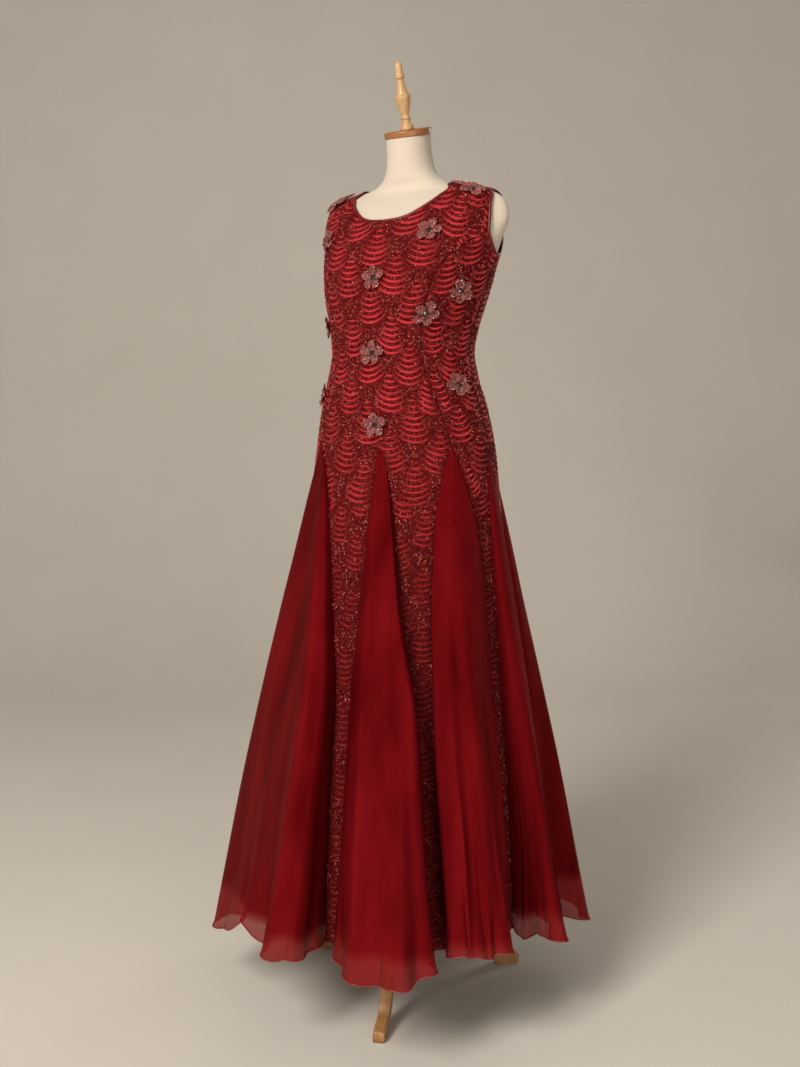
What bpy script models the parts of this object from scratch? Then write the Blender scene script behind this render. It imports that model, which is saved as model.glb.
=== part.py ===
"""Net gown on a dress form, worked in metres with +Z up.

The front of the form faces -Y and its left side +X. The pole stands on the origin.
Angles round the body are in degrees, 0 at the front and 90 at the form's left side.
"""
import bmesh
import bpy
import math
import numpy as np

for old in list(bpy.data.objects):
    bpy.data.objects.remove(old, do_unlink=True)

# Sizes that drive the rest
PANEL_WALL = 0.0016
GODET_WALL = 0.0012
HALF_GAP = 0.00017
SEAT = 0.0003
HEM_RADIUS = 0.250
HEM_HEIGHT = 0.205
# The form stands this much lower on its pole than the heights in the tables below say
FORM_DROP = 0.041
BUST_ANGLE = 31.0
BUST_SPREAD = 30.0
STUB_ANGLE = 96.0
STUB_SPREAD = 14.0
TILT = math.tan(math.radians(16.0))

# Sections of the form: height, half width, front depth, back depth, centre behind the pole,
# arm stub, bust, tilt, ease of the cloth over it
TORSO = (
    (1.060, 0.176, 0.129, 0.134, 0.002, 0.000, 0.000, 0.0, 0.0026),
    (1.130, 0.163, 0.121, 0.126, -0.002, 0.000, 0.000, 0.0, 0.0028),
    (1.190, 0.146, 0.112, 0.114, -0.005, 0.000, 0.000, 0.0, 0.0030),
    (1.240, 0.137, 0.106, 0.108, -0.005, 0.000, 0.002, 0.0, 0.0034),
    (1.290, 0.143, 0.111, 0.111, 0.003, 0.000, 0.008, 0.0, 0.0036),
    (1.340, 0.155, 0.118, 0.118, 0.012, 0.000, 0.015, 0.0, 0.0036),
    (1.390, 0.167, 0.121, 0.122, 0.020, 0.001, 0.013, 0.0, 0.0034),
    (1.440, 0.178, 0.113, 0.118, 0.025, 0.008, 0.004, 0.0, 0.0030),
    (1.490, 0.184, 0.093, 0.106, 0.029, 0.022, 0.000, 0.0, 0.0026),
    (1.520, 0.181, 0.073, 0.087, 0.031, 0.017, 0.000, 0.0, 0.0021),
    (1.538, 0.168, 0.054, 0.064, 0.031, 0.007, 0.000, 0.0, 0.0016),
    (1.549, 0.130, 0.044, 0.050, 0.031, 0.000, 0.000, 0.0, 0.0012),
    (1.559, 0.088, 0.043, 0.047, 0.031, 0.000, 0.000, 0.0, 0.0012),
)
NECK = (
    (1.574, 0.060, 0.045, 0.046, 0.028, 0.000, 0.000, 0.1, 0.0),
    (1.598, 0.047, 0.045, 0.045, 0.024, 0.000, 0.000, 0.3, 0.0),
    (1.630, 0.043, 0.043, 0.043, 0.019, 0.000, 0.000, 0.7, 0.0),
    (1.657, 0.043, 0.043, 0.043, 0.016, 0.000, 0.000, 1.0, 0.0),
)
FORM_BASE = (
    (0.840, 0.150, 0.106, 0.110, 0.002, 0.000, 0.000, 0.0, 0.0),
    (0.900, 0.166, 0.120, 0.125, 0.002, 0.000, 0.000, 0.0, 0.0),
    (0.980, 0.175, 0.128, 0.133, 0.002, 0.000, 0.000, 0.0, 0.0),
)
# Sections that the skirt panels follow below the hips, in the same columns
SKIRT = (
    (0.060, 0.250, 0.250, 0.250, 0.0, 0.0, 0.0, 0.0, 0.0024),
    (0.160, 0.246, 0.246, 0.246, 0.0, 0.0, 0.0, 0.0, 0.0024),
    (0.260, 0.241, 0.240, 0.240, 0.0, 0.0, 0.0, 0.0, 0.0024),
    (0.360, 0.235, 0.232, 0.232, 0.0, 0.0, 0.0, 0.0, 0.0024),
    (0.460, 0.228, 0.222, 0.222, 0.0, 0.0, 0.0, 0.0, 0.0024),
    (0.560, 0.219, 0.210, 0.210, 0.0, 0.0, 0.0, 0.0, 0.0024),
    (0.660, 0.210, 0.196, 0.197, 0.0, 0.0, 0.0, 0.0, 0.0024),
    (0.760, 0.201, 0.181, 0.182, 0.0, 0.0, 0.0, 0.0, 0.0024),
    (0.860, 0.193, 0.165, 0.167, 0.001, 0.0, 0.0, 0.0, 0.0024),
    (0.960, 0.185, 0.148, 0.151, 0.001, 0.0, 0.0, 0.0, 0.0024),
)
FORM_ROWS = np.array(FORM_BASE + TORSO + NECK)
GOWN_ROWS = np.array(SKIRT + TORSO)

# Seams from the godet points up to the neckline and shoulder: centre angle and height,
# princess angle left and right, princess height, side angle left and right
FRONT_ROWS = (
    (8.0, 1.068, 55.0, -46.0, 1.072, 88.0, -90.0),
    (7.0, 1.110, 52.0, -44.5, 1.112, 88.5, -90.0),
    (5.5, 1.155, 47.5, -42.5, 1.155, 89.0, -90.0),
    (4.0, 1.200, 43.5, -40.5, 1.199, 89.5, -90.0),
    (3.0, 1.240, 40.5, -39.0, 1.240, 90.0, -90.0),
    (2.0, 1.280, 39.0, -38.5, 1.280, 90.5, -90.5),
    (1.0, 1.320, 38.5, -38.5, 1.320, 91.0, -91.0),
    (0.5, 1.358, 39.5, -39.5, 1.358, 92.0, -92.0),
    (0.0, 1.392, 43.0, -43.0, 1.390, 93.0, -93.0),
    (0.0, 1.423, 51.0, -51.0, 1.416, 94.0, -94.0),
    (0.0, 1.448, 60.0, -60.0, 1.436, 94.8, -94.8),
    (0.0, 1.467, 69.0, -69.0, 1.450, 95.4, -95.4),
    (0.0, 1.482, 76.5, -76.5, 1.460, 96.0, -96.0),
)
# Neckline and armhole edges of the shoulder strap, in angle and height
FRONT_STRAP = (
    (8.0, 1.484, 75.0, 1.480),
    (15.0, 1.490, 74.5, 1.498),
    (21.0, 1.501, 75.0, 1.513),
    (27.0, 1.515, 77.5, 1.525),
    (34.0, 1.532, 81.0, 1.534),
    (44.0, 1.546, 85.0, 1.539),
    (56.0, 1.553, 87.0, 1.541),
    (72.0, 1.556, 88.5, 1.542),
    (90.0, 1.557, 90.0, 1.543),
)
# Back: height on the centre seam, princess angle left and right
BACK_ROWS = (
    (1.068, 133.0, -135.0),
    (1.112, 135.0, -136.0),
    (1.158, 138.0, -138.5),
    (1.204, 141.0, -141.0),
    (1.246, 143.0, -143.0),
    (1.288, 144.0, -144.0),
    (1.330, 143.5, -143.5),
    (1.372, 141.0, -141.0),
    (1.410, 136.5, -136.5),
    (1.442, 130.5, -130.5),
    (1.470, 124.0, -124.0),
    (1.493, 118.5, -118.5),
    (1.512, 113.5, -113.5),
)
BACK_STRAP = (
    (171.0, 1.514, 114.5, 1.481),
    (162.0, 1.519, 114.0, 1.498),
    (154.0, 1.526, 112.0, 1.513),
    (146.0, 1.535, 108.0, 1.525),
    (137.0, 1.546, 102.5, 1.534),
    (125.0, 1.553, 97.0, 1.539),
    (108.0, 1.556, 92.5, 1.542),
    (90.0, 1.557, 90.0, 1.543),
)
SIDE_TOP = 1.420
SIDE_LOW = 1.056
ARMHOLE_SAG = 0.010

# How far down from the godet points each cloth row lies, as a share of the way to the hem
LEG_STEPS = (0.0, 0.035, 0.08, 0.13, 0.19, 0.26, 0.34, 0.43, 0.52, 0.61, 0.70, 0.79, 0.87, 0.94, 1.0)
SEAM_STEPS = (0.0, 0.05, 0.11, 0.19, 0.33, 0.54, 1.0)
# Angles of the two seams of each godet at SEAM_STEPS
SEAMS = {
    "godet_1": ((-46, -48, -50, -52, -57, -62, -66), (-46, -35, -27, -20.5, -12, -4, -2)),
    "godet_2": ((8, 7.7, 7.6, 7.4, 7.4, 7.0, 8), (8, 14, 18, 21.2, 26, 34, 38)),
    "godet_3": ((55, 51, 48, 46, 45.3, 46, 50), (55, 61, 68, 74, 76, 75, 72)),
    "godet_4": ((88, 86.8, 86.4, 86, 86, 85, 84), (88, 94, 99, 103, 106, 106, 104)),
    "godet_5": ((133, 129, 126, 123, 120, 117, 116), (133, 136, 139, 142, 146, 149, 150)),
    "godet_6": ((180, 177, 174, 171, 166, 162, 160), (180, 183, 186, 189, 194, 198, 200)),
    "godet_7": ((-135, -138, -141, -144, -147, -149, -150), (-135, -132, -129, -126, -121, -116, -114)),
    "godet_8": ((-90, -94, -97, -100, -103, -104, -104), (-90, -87, -85, -82, -79, -77, -76)),
}
SEAM_TOPS = {
    "godet_1": 1.072, "godet_2": 1.068, "godet_3": 1.072, "godet_4": 1.056,
    "godet_5": 1.072, "godet_6": 1.068, "godet_7": 1.072, "godet_8": 1.056,
}
# Hem of each godet from seam to seam: angle, distance from the pole, height
GODET_HEMS = {
    "godet_1": ((-66, 0.250, 0.205), (-62, 0.318, 0.150), (-55, 0.361, 0.152), (-43, 0.337, 0.172),
                (-31.5, 0.316, 0.218), (-20, 0.330, 0.206), (-10, 0.352, 0.203), (-3, 0.344, 0.205),
                (-1, 0.301, 0.205), (-2, 0.250, 0.205)),
    "godet_2": ((8, 0.250, 0.205), (7.5, 0.287, 0.201), (14, 0.332, 0.198), (21.5, 0.357, 0.197),
                (28, 0.366, 0.196), (35, 0.356, 0.203), (39.5, 0.322, 0.210), (38, 0.250, 0.205)),
    "godet_3": ((50, 0.250, 0.205), (48.5, 0.299, 0.218), (52, 0.336, 0.224), (58, 0.342, 0.223),
                (64, 0.325, 0.219), (70, 0.288, 0.214), (72, 0.250, 0.205)),
    "godet_4": ((84, 0.250, 0.205), (84.5, 0.285, 0.198), (89.5, 0.318, 0.190), (94.5, 0.320, 0.184),
                (100.5, 0.288, 0.182), (104, 0.250, 0.205)),
    "godet_5": ((116, 0.250, 0.205), (119, 0.303, 0.165), (126, 0.346, 0.148), (132, 0.361, 0.138),
                (140, 0.344, 0.142), (147, 0.302, 0.156), (150, 0.250, 0.205)),
    "godet_6": ((160, 0.250, 0.205), (164, 0.312, 0.160), (171, 0.352, 0.155), (179, 0.338, 0.162),
                (187, 0.354, 0.154), (195, 0.316, 0.160), (200, 0.250, 0.205)),
    "godet_7": ((-150, 0.250, 0.205), (-145, 0.310, 0.160), (-137, 0.352, 0.155), (-129, 0.344, 0.160),
                (-120, 0.306, 0.164), (-114, 0.250, 0.205)),
    "godet_8": ((-104, 0.250, 0.205), (-101, 0.300, 0.162), (-94, 0.328, 0.156), (-86, 0.325, 0.158),
                (-79, 0.294, 0.162), (-76, 0.250, 0.205)),
}
GODET_COLUMNS = 10

# Flowers sewn on: angle, height, turn of the petals, seat above or below the smooth surface
FLOWERS = (
    (-60.0, 1.532, 10.0, -0.0004), (-48.0, 1.456, 40.0, -0.0013), (32.0, 1.456, 5.0, -0.0013),
    (60.0, 1.536, 60.0, 0.0002), (2.0, 1.372, 20.0, -0.0009), (63.0, 1.348, 50.0, -0.0014),
    (40.0, 1.306, 0.0, 0.0001), (-60.0, 1.291, 30.0, -0.0003), (2.0, 1.235, 15.0, -0.0002),
    (69.0, 1.175, 45.0, -0.0010), (-62.0, 1.156, 5.0, -0.0008), (6.0, 1.103, 25.0, -0.0003),
)
FLOWER_RADIUS = 0.0245
FLOWER_SIDES = 15
STONE_RADIUS = 0.0052

# Stand
DISC_RADIUS = 0.046
DISC_THICKNESS = 0.012
FINIAL = (
    (0.000, 0.0141), (0.008, 0.0130), (0.0105, 0.0092), (0.019, 0.0088), (0.021, 0.0103), (0.025, 0.0101),
    (0.027, 0.0078), (0.036, 0.0100), (0.048, 0.0140), (0.056, 0.0155), (0.058, 0.0163), (0.0635, 0.0163),
    (0.066, 0.0125), (0.078, 0.0089), (0.095, 0.0068), (0.0975, 0.0092), (0.104, 0.0093), (0.106, 0.0078),
    (0.118, 0.0072), (0.125, 0.0046),
)
FINIAL_LENGTH = 0.128
POLE_RADIUS = 0.0135
HUB_RADIUS = 0.034
HUB_BOTTOM = 0.200
HUB_TOP = 0.276
LEG_ANGLES = (21.0, 141.0, 261.0)
# Leg sections: distance from the pole, underside height, depth, width
LEG_ROWS = (
    (0.0343, 0.206, 0.060, 0.024),
    (0.054, 0.193, 0.052, 0.024),
    (0.078, 0.160, 0.046, 0.023),
    (0.104, 0.117, 0.040, 0.022),
    (0.131, 0.076, 0.036, 0.022),
    (0.157, 0.041, 0.032, 0.021),
    (0.181, 0.014, 0.030, 0.021),
    (0.199, 0.000, 0.028, 0.020),
    (0.236, 0.000, 0.017, 0.020),
)

collection = bpy.data.collections.new("net_gown_on_dress_form")
bpy.context.scene.collection.children.link(collection)


def material(name, color, roughness):
    """A named Principled material."""
    made = bpy.data.materials.new(name)
    made.use_nodes = True
    node = made.node_tree.nodes["Principled BSDF"]
    node.inputs["Base Color"].default_value = (*color, 1.0)
    node.inputs["Roughness"].default_value = roughness
    made.diffuse_color = (*color, 1.0)
    return made


NET = material("embroidered_net", (0.32, 0.015, 0.025), 0.5)
ORGANZA = material("organza_satin", (0.38, 0.008, 0.02), 0.35)
BINDING = material("satin_binding", (0.15, 0.006, 0.012), 0.4)
PETAL = material("beaded_petal", (0.45, 0.12, 0.14), 0.55)
STONE = material("dark_stone", (0.02, 0.006, 0.005), 0.1)
COVER = material("form_cover", (0.72, 0.63, 0.52), 0.85)
TURNED = material("turned_wood", (0.68, 0.42, 0.2), 0.4)
CAP = material("cap_wood", (0.42, 0.16, 0.06), 0.4)
LEG_WOOD = material("leg_wood", (0.5, 0.28, 0.12), 0.45)


def solid(name, points, faces, surface, smooth=True):
    """One closed mesh object from its points and faces."""
    mesh = bpy.data.meshes.new(name)
    mesh.from_pydata([tuple(p) for p in points], [], [tuple(f) for f in faces])
    work = bmesh.new()
    work.from_mesh(mesh)
    bmesh.ops.recalc_face_normals(work, faces=work.faces)
    for face in work.faces:
        face.smooth = smooth
    work.to_mesh(mesh)
    work.free()
    mesh.materials.append(surface)
    made = bpy.data.objects.new(name, mesh)
    collection.objects.link(made)
    return made


def shell(name, outer, inner, faces, surface):
    """A cloth sheet closed between its outer and inner points."""
    count = len(outer)
    closed = [tuple(f) for f in faces]
    closed += [tuple(count + i for i in reversed(f)) for f in faces]
    edges = {(f[i], f[(i + 1) % len(f)]) for f in faces for i in range(len(f))}
    for a, b in sorted(edges):
        if (b, a) not in edges:
            closed.append((b, a, count + a, count + b))
    return solid(name, list(outer) + list(inner), closed, surface)


def curve(xs, ys, x):
    """Smooth value at x of the line through the points xs, ys, with no overshoot."""
    xs = np.asarray(xs, float)
    ys = np.asarray(ys, float)
    steps = np.diff(xs)
    rises = (np.diff(ys, axis=0).T / steps).T
    slopes = np.zeros_like(ys)
    slopes[0] = rises[0]
    slopes[-1] = rises[-1]
    before = rises[:-1]
    after = rises[1:]
    same = before * after > 0
    safe = np.where(same, before + after, 1.0)
    slopes[1:-1] = np.where(same, 2 * before * after / safe, 0.0)
    x = min(max(x, xs[0]), xs[-1])
    i = min(int(np.searchsorted(xs, x, side="right")) - 1, len(steps) - 1)
    f = (x - xs[i]) / steps[i]
    g = 1 - f
    start = (1 + 2 * f) * g * g * ys[i] + f * g * g * steps[i] * slopes[i]
    end = f * f * (3 - 2 * f) * ys[i + 1] - f * f * g * steps[i] * slopes[i + 1]
    return start + end


def row_at(rows, height):
    """Row number, with its fraction, at which a table of sections reaches a height."""
    if len(rows) not in samples:
        numbers = np.linspace(0, len(rows) - 1, 60 * len(rows))
        heights = [curve(np.arange(len(rows)), rows, n)[0] for n in numbers]
        samples[len(rows)] = (heights, numbers)
    return float(np.interp(height, *samples[len(rows)]))


samples = {}


def plain_point(rows, angle, number):
    """Point of the sections' own surface."""
    z, width, front, back, centre, stub, bust, tilt, _ = curve(range(len(rows)), rows, number)
    turn = math.radians(angle)
    side = abs((angle + 180.0) % 360.0 - 180.0)
    depth = front if math.cos(turn) > 0 else back
    swell = bust * math.exp(-((side - BUST_ANGLE) / BUST_SPREAD) ** 2)
    width = width + stub * math.exp(-((side - STUB_ANGLE) / STUB_SPREAD) ** 2)
    x = (width + swell) * math.sin(turn)
    y = centre - (depth + swell) * math.cos(turn)
    return np.array((x, y, z - FORM_DROP + (y - centre) * tilt * TILT))


def surface_frame(rows, angle, number):
    """Point and outward normal of the sections' surface."""
    last = len(rows) - 1
    a = min(number + 0.03, last)
    b = max(number - 0.03, 0)
    across = plain_point(rows, angle + 0.6, number) - plain_point(rows, angle - 0.6, number)
    along = plain_point(rows, angle, a) - plain_point(rows, angle, b)
    normal = np.cross(across, along)
    return plain_point(rows, angle, number), normal / np.linalg.norm(normal)


def gown_point(angle, height, out=0.0):
    """Point on the gown's inside, moved out through the cloth."""
    number = row_at(GOWN_ROWS, height)
    ease = curve(range(len(GOWN_ROWS)), GOWN_ROWS, number)[-1]
    point, normal = surface_frame(GOWN_ROWS, angle, number)
    return point + normal * (ease + out)


def shifted(angle, height, gap):
    """Angle moved sideways by a length along the cloth."""
    number = row_at(GOWN_ROWS, height)
    step = plain_point(GOWN_ROWS, angle + 1, number) - plain_point(GOWN_ROWS, angle - 1, number)
    return angle + gap * 2.0 / np.linalg.norm(step)


def seam(godet, side, step):
    """Angle and height of a godet's seam, side 0 or 1, at a share of the way down."""
    top = SEAM_TOPS[godet]
    angle = float(curve(SEAM_STEPS, SEAMS[godet][side], step))
    return angle, top + (HEM_HEIGHT - top) * step


def panel_sheet(blocks):
    """Welded quads of one panel. Each block is a list of rows, each row ends at its two edges
    (angle, height) with a sag, and a side that says which edge is pulled in for the seam."""
    outer = []
    inner = []
    faces = []
    found = {}

    def corner(angle, height):
        key = (round(angle, 4), round(height, 6))
        if key not in found:
            found[key] = len(outer)
            outer.append(gown_point(angle, height, PANEL_WALL))
            inner.append(gown_point(angle, height))
        return found[key]

    for rows, columns in blocks:
        grid = []
        for start, end, sag in rows:
            line = []
            for c in range(columns + 1):
                f = c / columns
                angle = start[0] + (end[0] - start[0]) * f
                height = start[1] + (end[1] - start[1]) * f - sag * 4 * f * (1 - f)
                line.append(corner(angle, height))
            grid.append(line)
        for j in range(len(grid) - 1):
            for c in range(columns):
                face = (grid[j][c], grid[j][c + 1], grid[j + 1][c + 1], grid[j + 1][c])
                faces.append(face if rows[0][0][0] < rows[0][1][0] else face[::-1])
    return outer, inner, faces


def pulled(point, gap):
    """Seam point moved in by half the seam gap."""
    return (shifted(point[0], point[1], gap), point[1])


def leg_rows(left_godet, right_godet, sign):
    """Rows of a panel's tapered leg from the hem up, not counting the row at the points."""
    rows = []
    for step in reversed(LEG_STEPS[1:]):
        start = pulled(seam(left_godet, 1, step), HALF_GAP)
        end = pulled(seam(right_godet, 0, step), -HALF_GAP)
        rows.append((start, end, 0.0))
    if sign < 0:
        rows = [(end, start, sag) for start, end, sag in rows]
    return rows


def front_half(sign):
    """Rows of half the front, from the centre out, sign +1 for the form's left."""
    column = 2 if sign > 0 else 3
    if sign > 0:
        rows = leg_rows("godet_2", "godet_3", 1)
    else:
        rows = leg_rows("godet_1", "godet_2", -1)
    for row in FRONT_ROWS:
        rows.append(((row[0], row[1]), pulled((row[column], row[4]), -sign * HALF_GAP), 0.0))
    for inner_angle, inner_height, outer_angle, outer_height in FRONT_STRAP[:-1]:
        rows.append(((sign * inner_angle, inner_height), (sign * outer_angle, outer_height), 0.0))
    last = FRONT_STRAP[-1]
    top = sign * (last[0] - SHOULDER_PULL)
    rows.append(((top, last[1]), (top, last[3]), 0.0))
    return rows


def back_half(sign):
    """Rows of half the back, from the centre seam out."""
    column = 1 if sign > 0 else 2
    if sign > 0:
        rows = leg_rows("godet_5", "godet_6", -1)
    else:
        rows = leg_rows("godet_6", "godet_7", 1)
        rows = [((a[0] - 360.0, a[1]), b, s) if a[0] > 0 else (a, b, s) for a, b, s in rows]
    for back, front in zip(BACK_ROWS, FRONT_ROWS):
        centre = pulled((180.0 * sign, back[0]), -sign * HALF_GAP)
        rows.append((centre, pulled((back[column], front[4]), sign * HALF_GAP), 0.0))
    for inner_angle, inner_height, outer_angle, outer_height in BACK_STRAP[:-1]:
        rows.append(((sign * inner_angle, inner_height), (sign * outer_angle, outer_height), 0.0))
    last = BACK_STRAP[-1]
    top = sign * (last[0] + SHOULDER_PULL)
    rows.append(((top, last[1]), (top, last[3]), 0.0))
    return rows


def side_height(princess_height):
    """Height on the side seam that goes with a height on the princess seam."""
    low = FRONT_ROWS[0][4]
    high = FRONT_ROWS[-1][4]
    return SIDE_LOW + (princess_height - low) * (SIDE_TOP - SIDE_LOW) / (high - low)


def side_piece(sign, front):
    """Rows of a side-front or side-back piece from the hem to the armhole."""
    names = {
        (1, True): ("godet_3", "godet_4"), (-1, True): ("godet_8", "godet_1"),
        (1, False): ("godet_4", "godet_5"), (-1, False): ("godet_7", "godet_8"),
    }
    rows = leg_rows(*names[(sign, front)], 1)
    count = len(FRONT_ROWS)
    for j, (row, back) in enumerate(zip(FRONT_ROWS, BACK_ROWS)):
        side = (row[5 if sign > 0 else 6], side_height(row[4]))
        if front:
            princess = (row[2 if sign > 0 else 3], row[4])
        else:
            princess = (back[1 if sign > 0 else 2], row[4])
        start, end = sorted((side, princess))
        sag = ARMHOLE_SAG * max(0.0, (j - count + 4) / 3.0)
        rows.append((pulled(start, HALF_GAP), pulled(end, -HALF_GAP), sag))
    return rows


# Front and back of the strap stop short of the shoulder seam by this angle
SHOULDER_PULL = 0.35

panels = {
    "front_panel": [(front_half(1), 5), (front_half(-1), 5)],
    "back_panel_left": [(back_half(1), 5)],
    "back_panel_right": [(back_half(-1), 5)],
    "side_front_left": [(side_piece(1, True), 3)],
    "side_front_right": [(side_piece(-1, True), 3)],
    "side_back_left": [(side_piece(1, False), 4)],
    "side_back_right": [(side_piece(-1, False), 4)],
}
for panel_name, panel_blocks in panels.items():
    sheet = panel_sheet(panel_blocks)
    shell(panel_name, *sheet, NET)


def godet_surface(name):
    """Grid of a godet's outer face, from the row below its point down to the hem."""
    hem = GODET_HEMS[name]
    places = np.linspace(0, 1, len(hem))
    top = SEAM_TOPS[name]
    left_hem = hem[0][0]
    spread = hem[-1][0] - left_hem
    grid = []
    for step in LEG_STEPS[1:]:
        left = pulled(seam(name, 0, step), HALF_GAP)[0]
        right = pulled(seam(name, 1, step), -HALF_GAP)[0]
        line = []
        for c in range(GODET_COLUMNS + 1):
            hem_angle, radius, hem_height = curve(places, hem, c / GODET_COLUMNS)
            angle = left + (hem_angle - left_hem) / spread * (right - left)
            height = top + (hem_height - top) * step
            point = gown_point(angle, height, PANEL_WALL)
            turn = math.radians(angle)
            push = (radius - HEM_RADIUS) * step
            line.append(point + push * np.array((math.sin(turn), -math.cos(turn), 0.0)))
        grid.append(line)
    return np.array(grid)


def godet(name):
    """A godet hanging from its point."""
    grid = godet_surface(name)
    rows, columns, _ = grid.shape
    point = gown_point(seam(name, 0, 0.0)[0], SEAM_TOPS[name] - 0.003, PANEL_WALL)
    along = np.gradient(grid, axis=0)
    across = np.gradient(grid, axis=1)
    normals = np.cross(along, across)
    normals /= np.linalg.norm(normals, axis=2)[:, :, None]
    turn = math.radians(seam(name, 0, 0.0)[0])
    outward = np.array((math.sin(turn), -math.cos(turn), 0.0))
    middle = normals[rows // 2, columns // 2]
    if np.dot(middle, outward) < 0:
        normals = -normals
    outer = [point] + [p for p in grid.reshape(-1, 3)]
    inner = [point - outward * GODET_WALL] + [p for p in (grid - normals * GODET_WALL).reshape(-1, 3)]
    faces = [(0, 1 + c, 2 + c) for c in range(columns - 1)]
    for j in range(rows - 1):
        for c in range(columns - 1):
            i = 1 + j * columns + c
            faces.append((i, i + columns, i + columns + 1, i + 1))
    shell(name, outer, inner, faces, ORGANZA)


for godet_name in GODET_HEMS:
    godet(godet_name)


def edging(name, path, width, surface):
    """A flat binding laid round a closed edge. The path holds angle, height and the
    side, 1 or -1, on which the cloth lies."""
    count = len(path)
    centres = [gown_point(a, h, PANEL_WALL) for a, h in path]
    points = []
    for i, (angle, height) in enumerate(path):
        _, normal = surface_frame(GOWN_ROWS, angle, row_at(GOWN_ROWS, height))
        along = centres[(i + 1) % count] - centres[i - 1]
        inward = np.cross(normal, along)
        inward /= np.linalg.norm(inward)
        low = normal * (SEAT + 0.0002)
        high = normal * (SEAT + 0.0012)
        start = centres[i] - inward * 0.0008
        end = centres[i] + inward * width
        points += [start + low, end + low, end + high, start + high]
    faces = []
    for i in range(count):
        j = (i + 1) % count
        for k in range(4):
            m = (k + 1) % 4
            faces.append((4 * i + k, 4 * i + m, 4 * j + m, 4 * j + k))
    solid(name, points, faces, surface)


def thickened(path, parts):
    """More points on an open path of angles and heights."""
    places = np.arange(len(path))
    return [tuple(curve(places, path, x)) for x in np.linspace(0, len(path) - 1, parts + 1)]


neck_front = [(0.0, FRONT_ROWS[-1][1])] + [(row[0], row[1]) for row in FRONT_STRAP]
neck_back = [(row[0], row[1]) for row in reversed(BACK_STRAP)] + [(180.0, BACK_ROWS[-1][0])]
neck_left = thickened(neck_front, 16)[:-1] + thickened(neck_back, 14)
neck_right = [(-a, h) for a, h in reversed(neck_left[1:-1])]
edging("neck_binding", (neck_left + neck_right)[::-1], 0.0042, BINDING)

arm_front = [(row[2], row[3]) for row in reversed(FRONT_STRAP)] + [(FRONT_ROWS[-1][2], FRONT_ROWS[-1][4])]
arm_back = [(BACK_ROWS[-1][1], FRONT_ROWS[-1][4])] + [(row[2], row[3]) for row in BACK_STRAP]


def armhole_low(start, end):
    """Points of the armhole's lower curve between a princess seam and the side seam."""
    points = []
    for f in (0.25, 0.5, 0.75):
        height = start[1] + (end[1] - start[1]) * f - ARMHOLE_SAG * 4 * f * (1 - f)
        points.append((start[0] + (end[0] - start[0]) * f, height))
    return points


side_point = (FRONT_ROWS[-1][5], SIDE_TOP)
arm_path = arm_front + armhole_low(arm_front[-1], side_point) + [side_point]
arm_path += armhole_low(side_point, arm_back[0]) + arm_back[:-1]
edging("armhole_binding_left", arm_path, 0.0042, BINDING)
edging("armhole_binding_right", [(-a, h) for a, h in reversed(arm_path)], 0.0042, BINDING)


def flower(number, angle, height, turn, seat):
    """Five petals laid on the net, lifted at their tips, and a faceted stone."""
    scale = 1.0 / np.linalg.norm(gown_point(angle + 1, height) - gown_point(angle, height))
    up = 1.0 / np.linalg.norm(gown_point(angle, height + 0.001) - gown_point(angle, height)) / 1000.0

    def lay(reach, bearing, out):
        side = reach * math.cos(bearing) * scale
        rise = reach * math.sin(bearing) * up
        return gown_point(angle + side, min(height + rise, GOWN_ROWS[-1][0]), PANEL_WALL + seat + out)

    lower = [lay(0.0, 0.0, 0.0008)]
    upper = [lay(0.0, 0.0, 0.0024)]
    for share, lift in ((0.45, 0.0012), (1.0, 0.0045)):
        for k in range(FLOWER_SIDES):
            bearing = math.radians(turn) + 2 * math.pi * k / FLOWER_SIDES
            petal = abs(math.cos(2.5 * 2 * math.pi * k / FLOWER_SIDES)) ** 0.5
            reach = FLOWER_RADIUS * share * (1.0 if share < 1 else 0.52 + 0.48 * petal)
            lower.append(lay(reach, bearing, 0.0008 + lift * share))
            upper.append(lay(reach, bearing, 0.0022 + lift * share))
    n = FLOWER_SIDES
    faces = [(0, 1 + k, 1 + (k + 1) % n) for k in range(n)]
    for k in range(n):
        m = (k + 1) % n
        faces.append((1 + k, 1 + n + k, 1 + n + m, 1 + m))
    shell(f"flower_{number:02d}", upper, lower, faces, PETAL)

    points = [lay(0.0, 0.0, 0.0031)]
    for reach, out in ((STONE_RADIUS, 0.0031), (STONE_RADIUS, 0.0043), (STONE_RADIUS * 0.55, 0.0066)):
        points += [lay(reach, 2 * math.pi * k / 8, out) for k in range(8)]
    faces = [(0, 1 + (k + 1) % 8, 1 + k) for k in range(8)]
    for ring in (1, 9):
        for k in range(8):
            m = (k + 1) % 8
            faces.append((ring + k, ring + m, ring + 8 + m, ring + 8 + k))
    faces.append(tuple(range(17, 25)))
    solid(f"stone_{number:02d}", points, faces, STONE, smooth=False)


for flower_number, flower_row in enumerate(FLOWERS, start=1):
    flower(flower_number, *flower_row)


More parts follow.
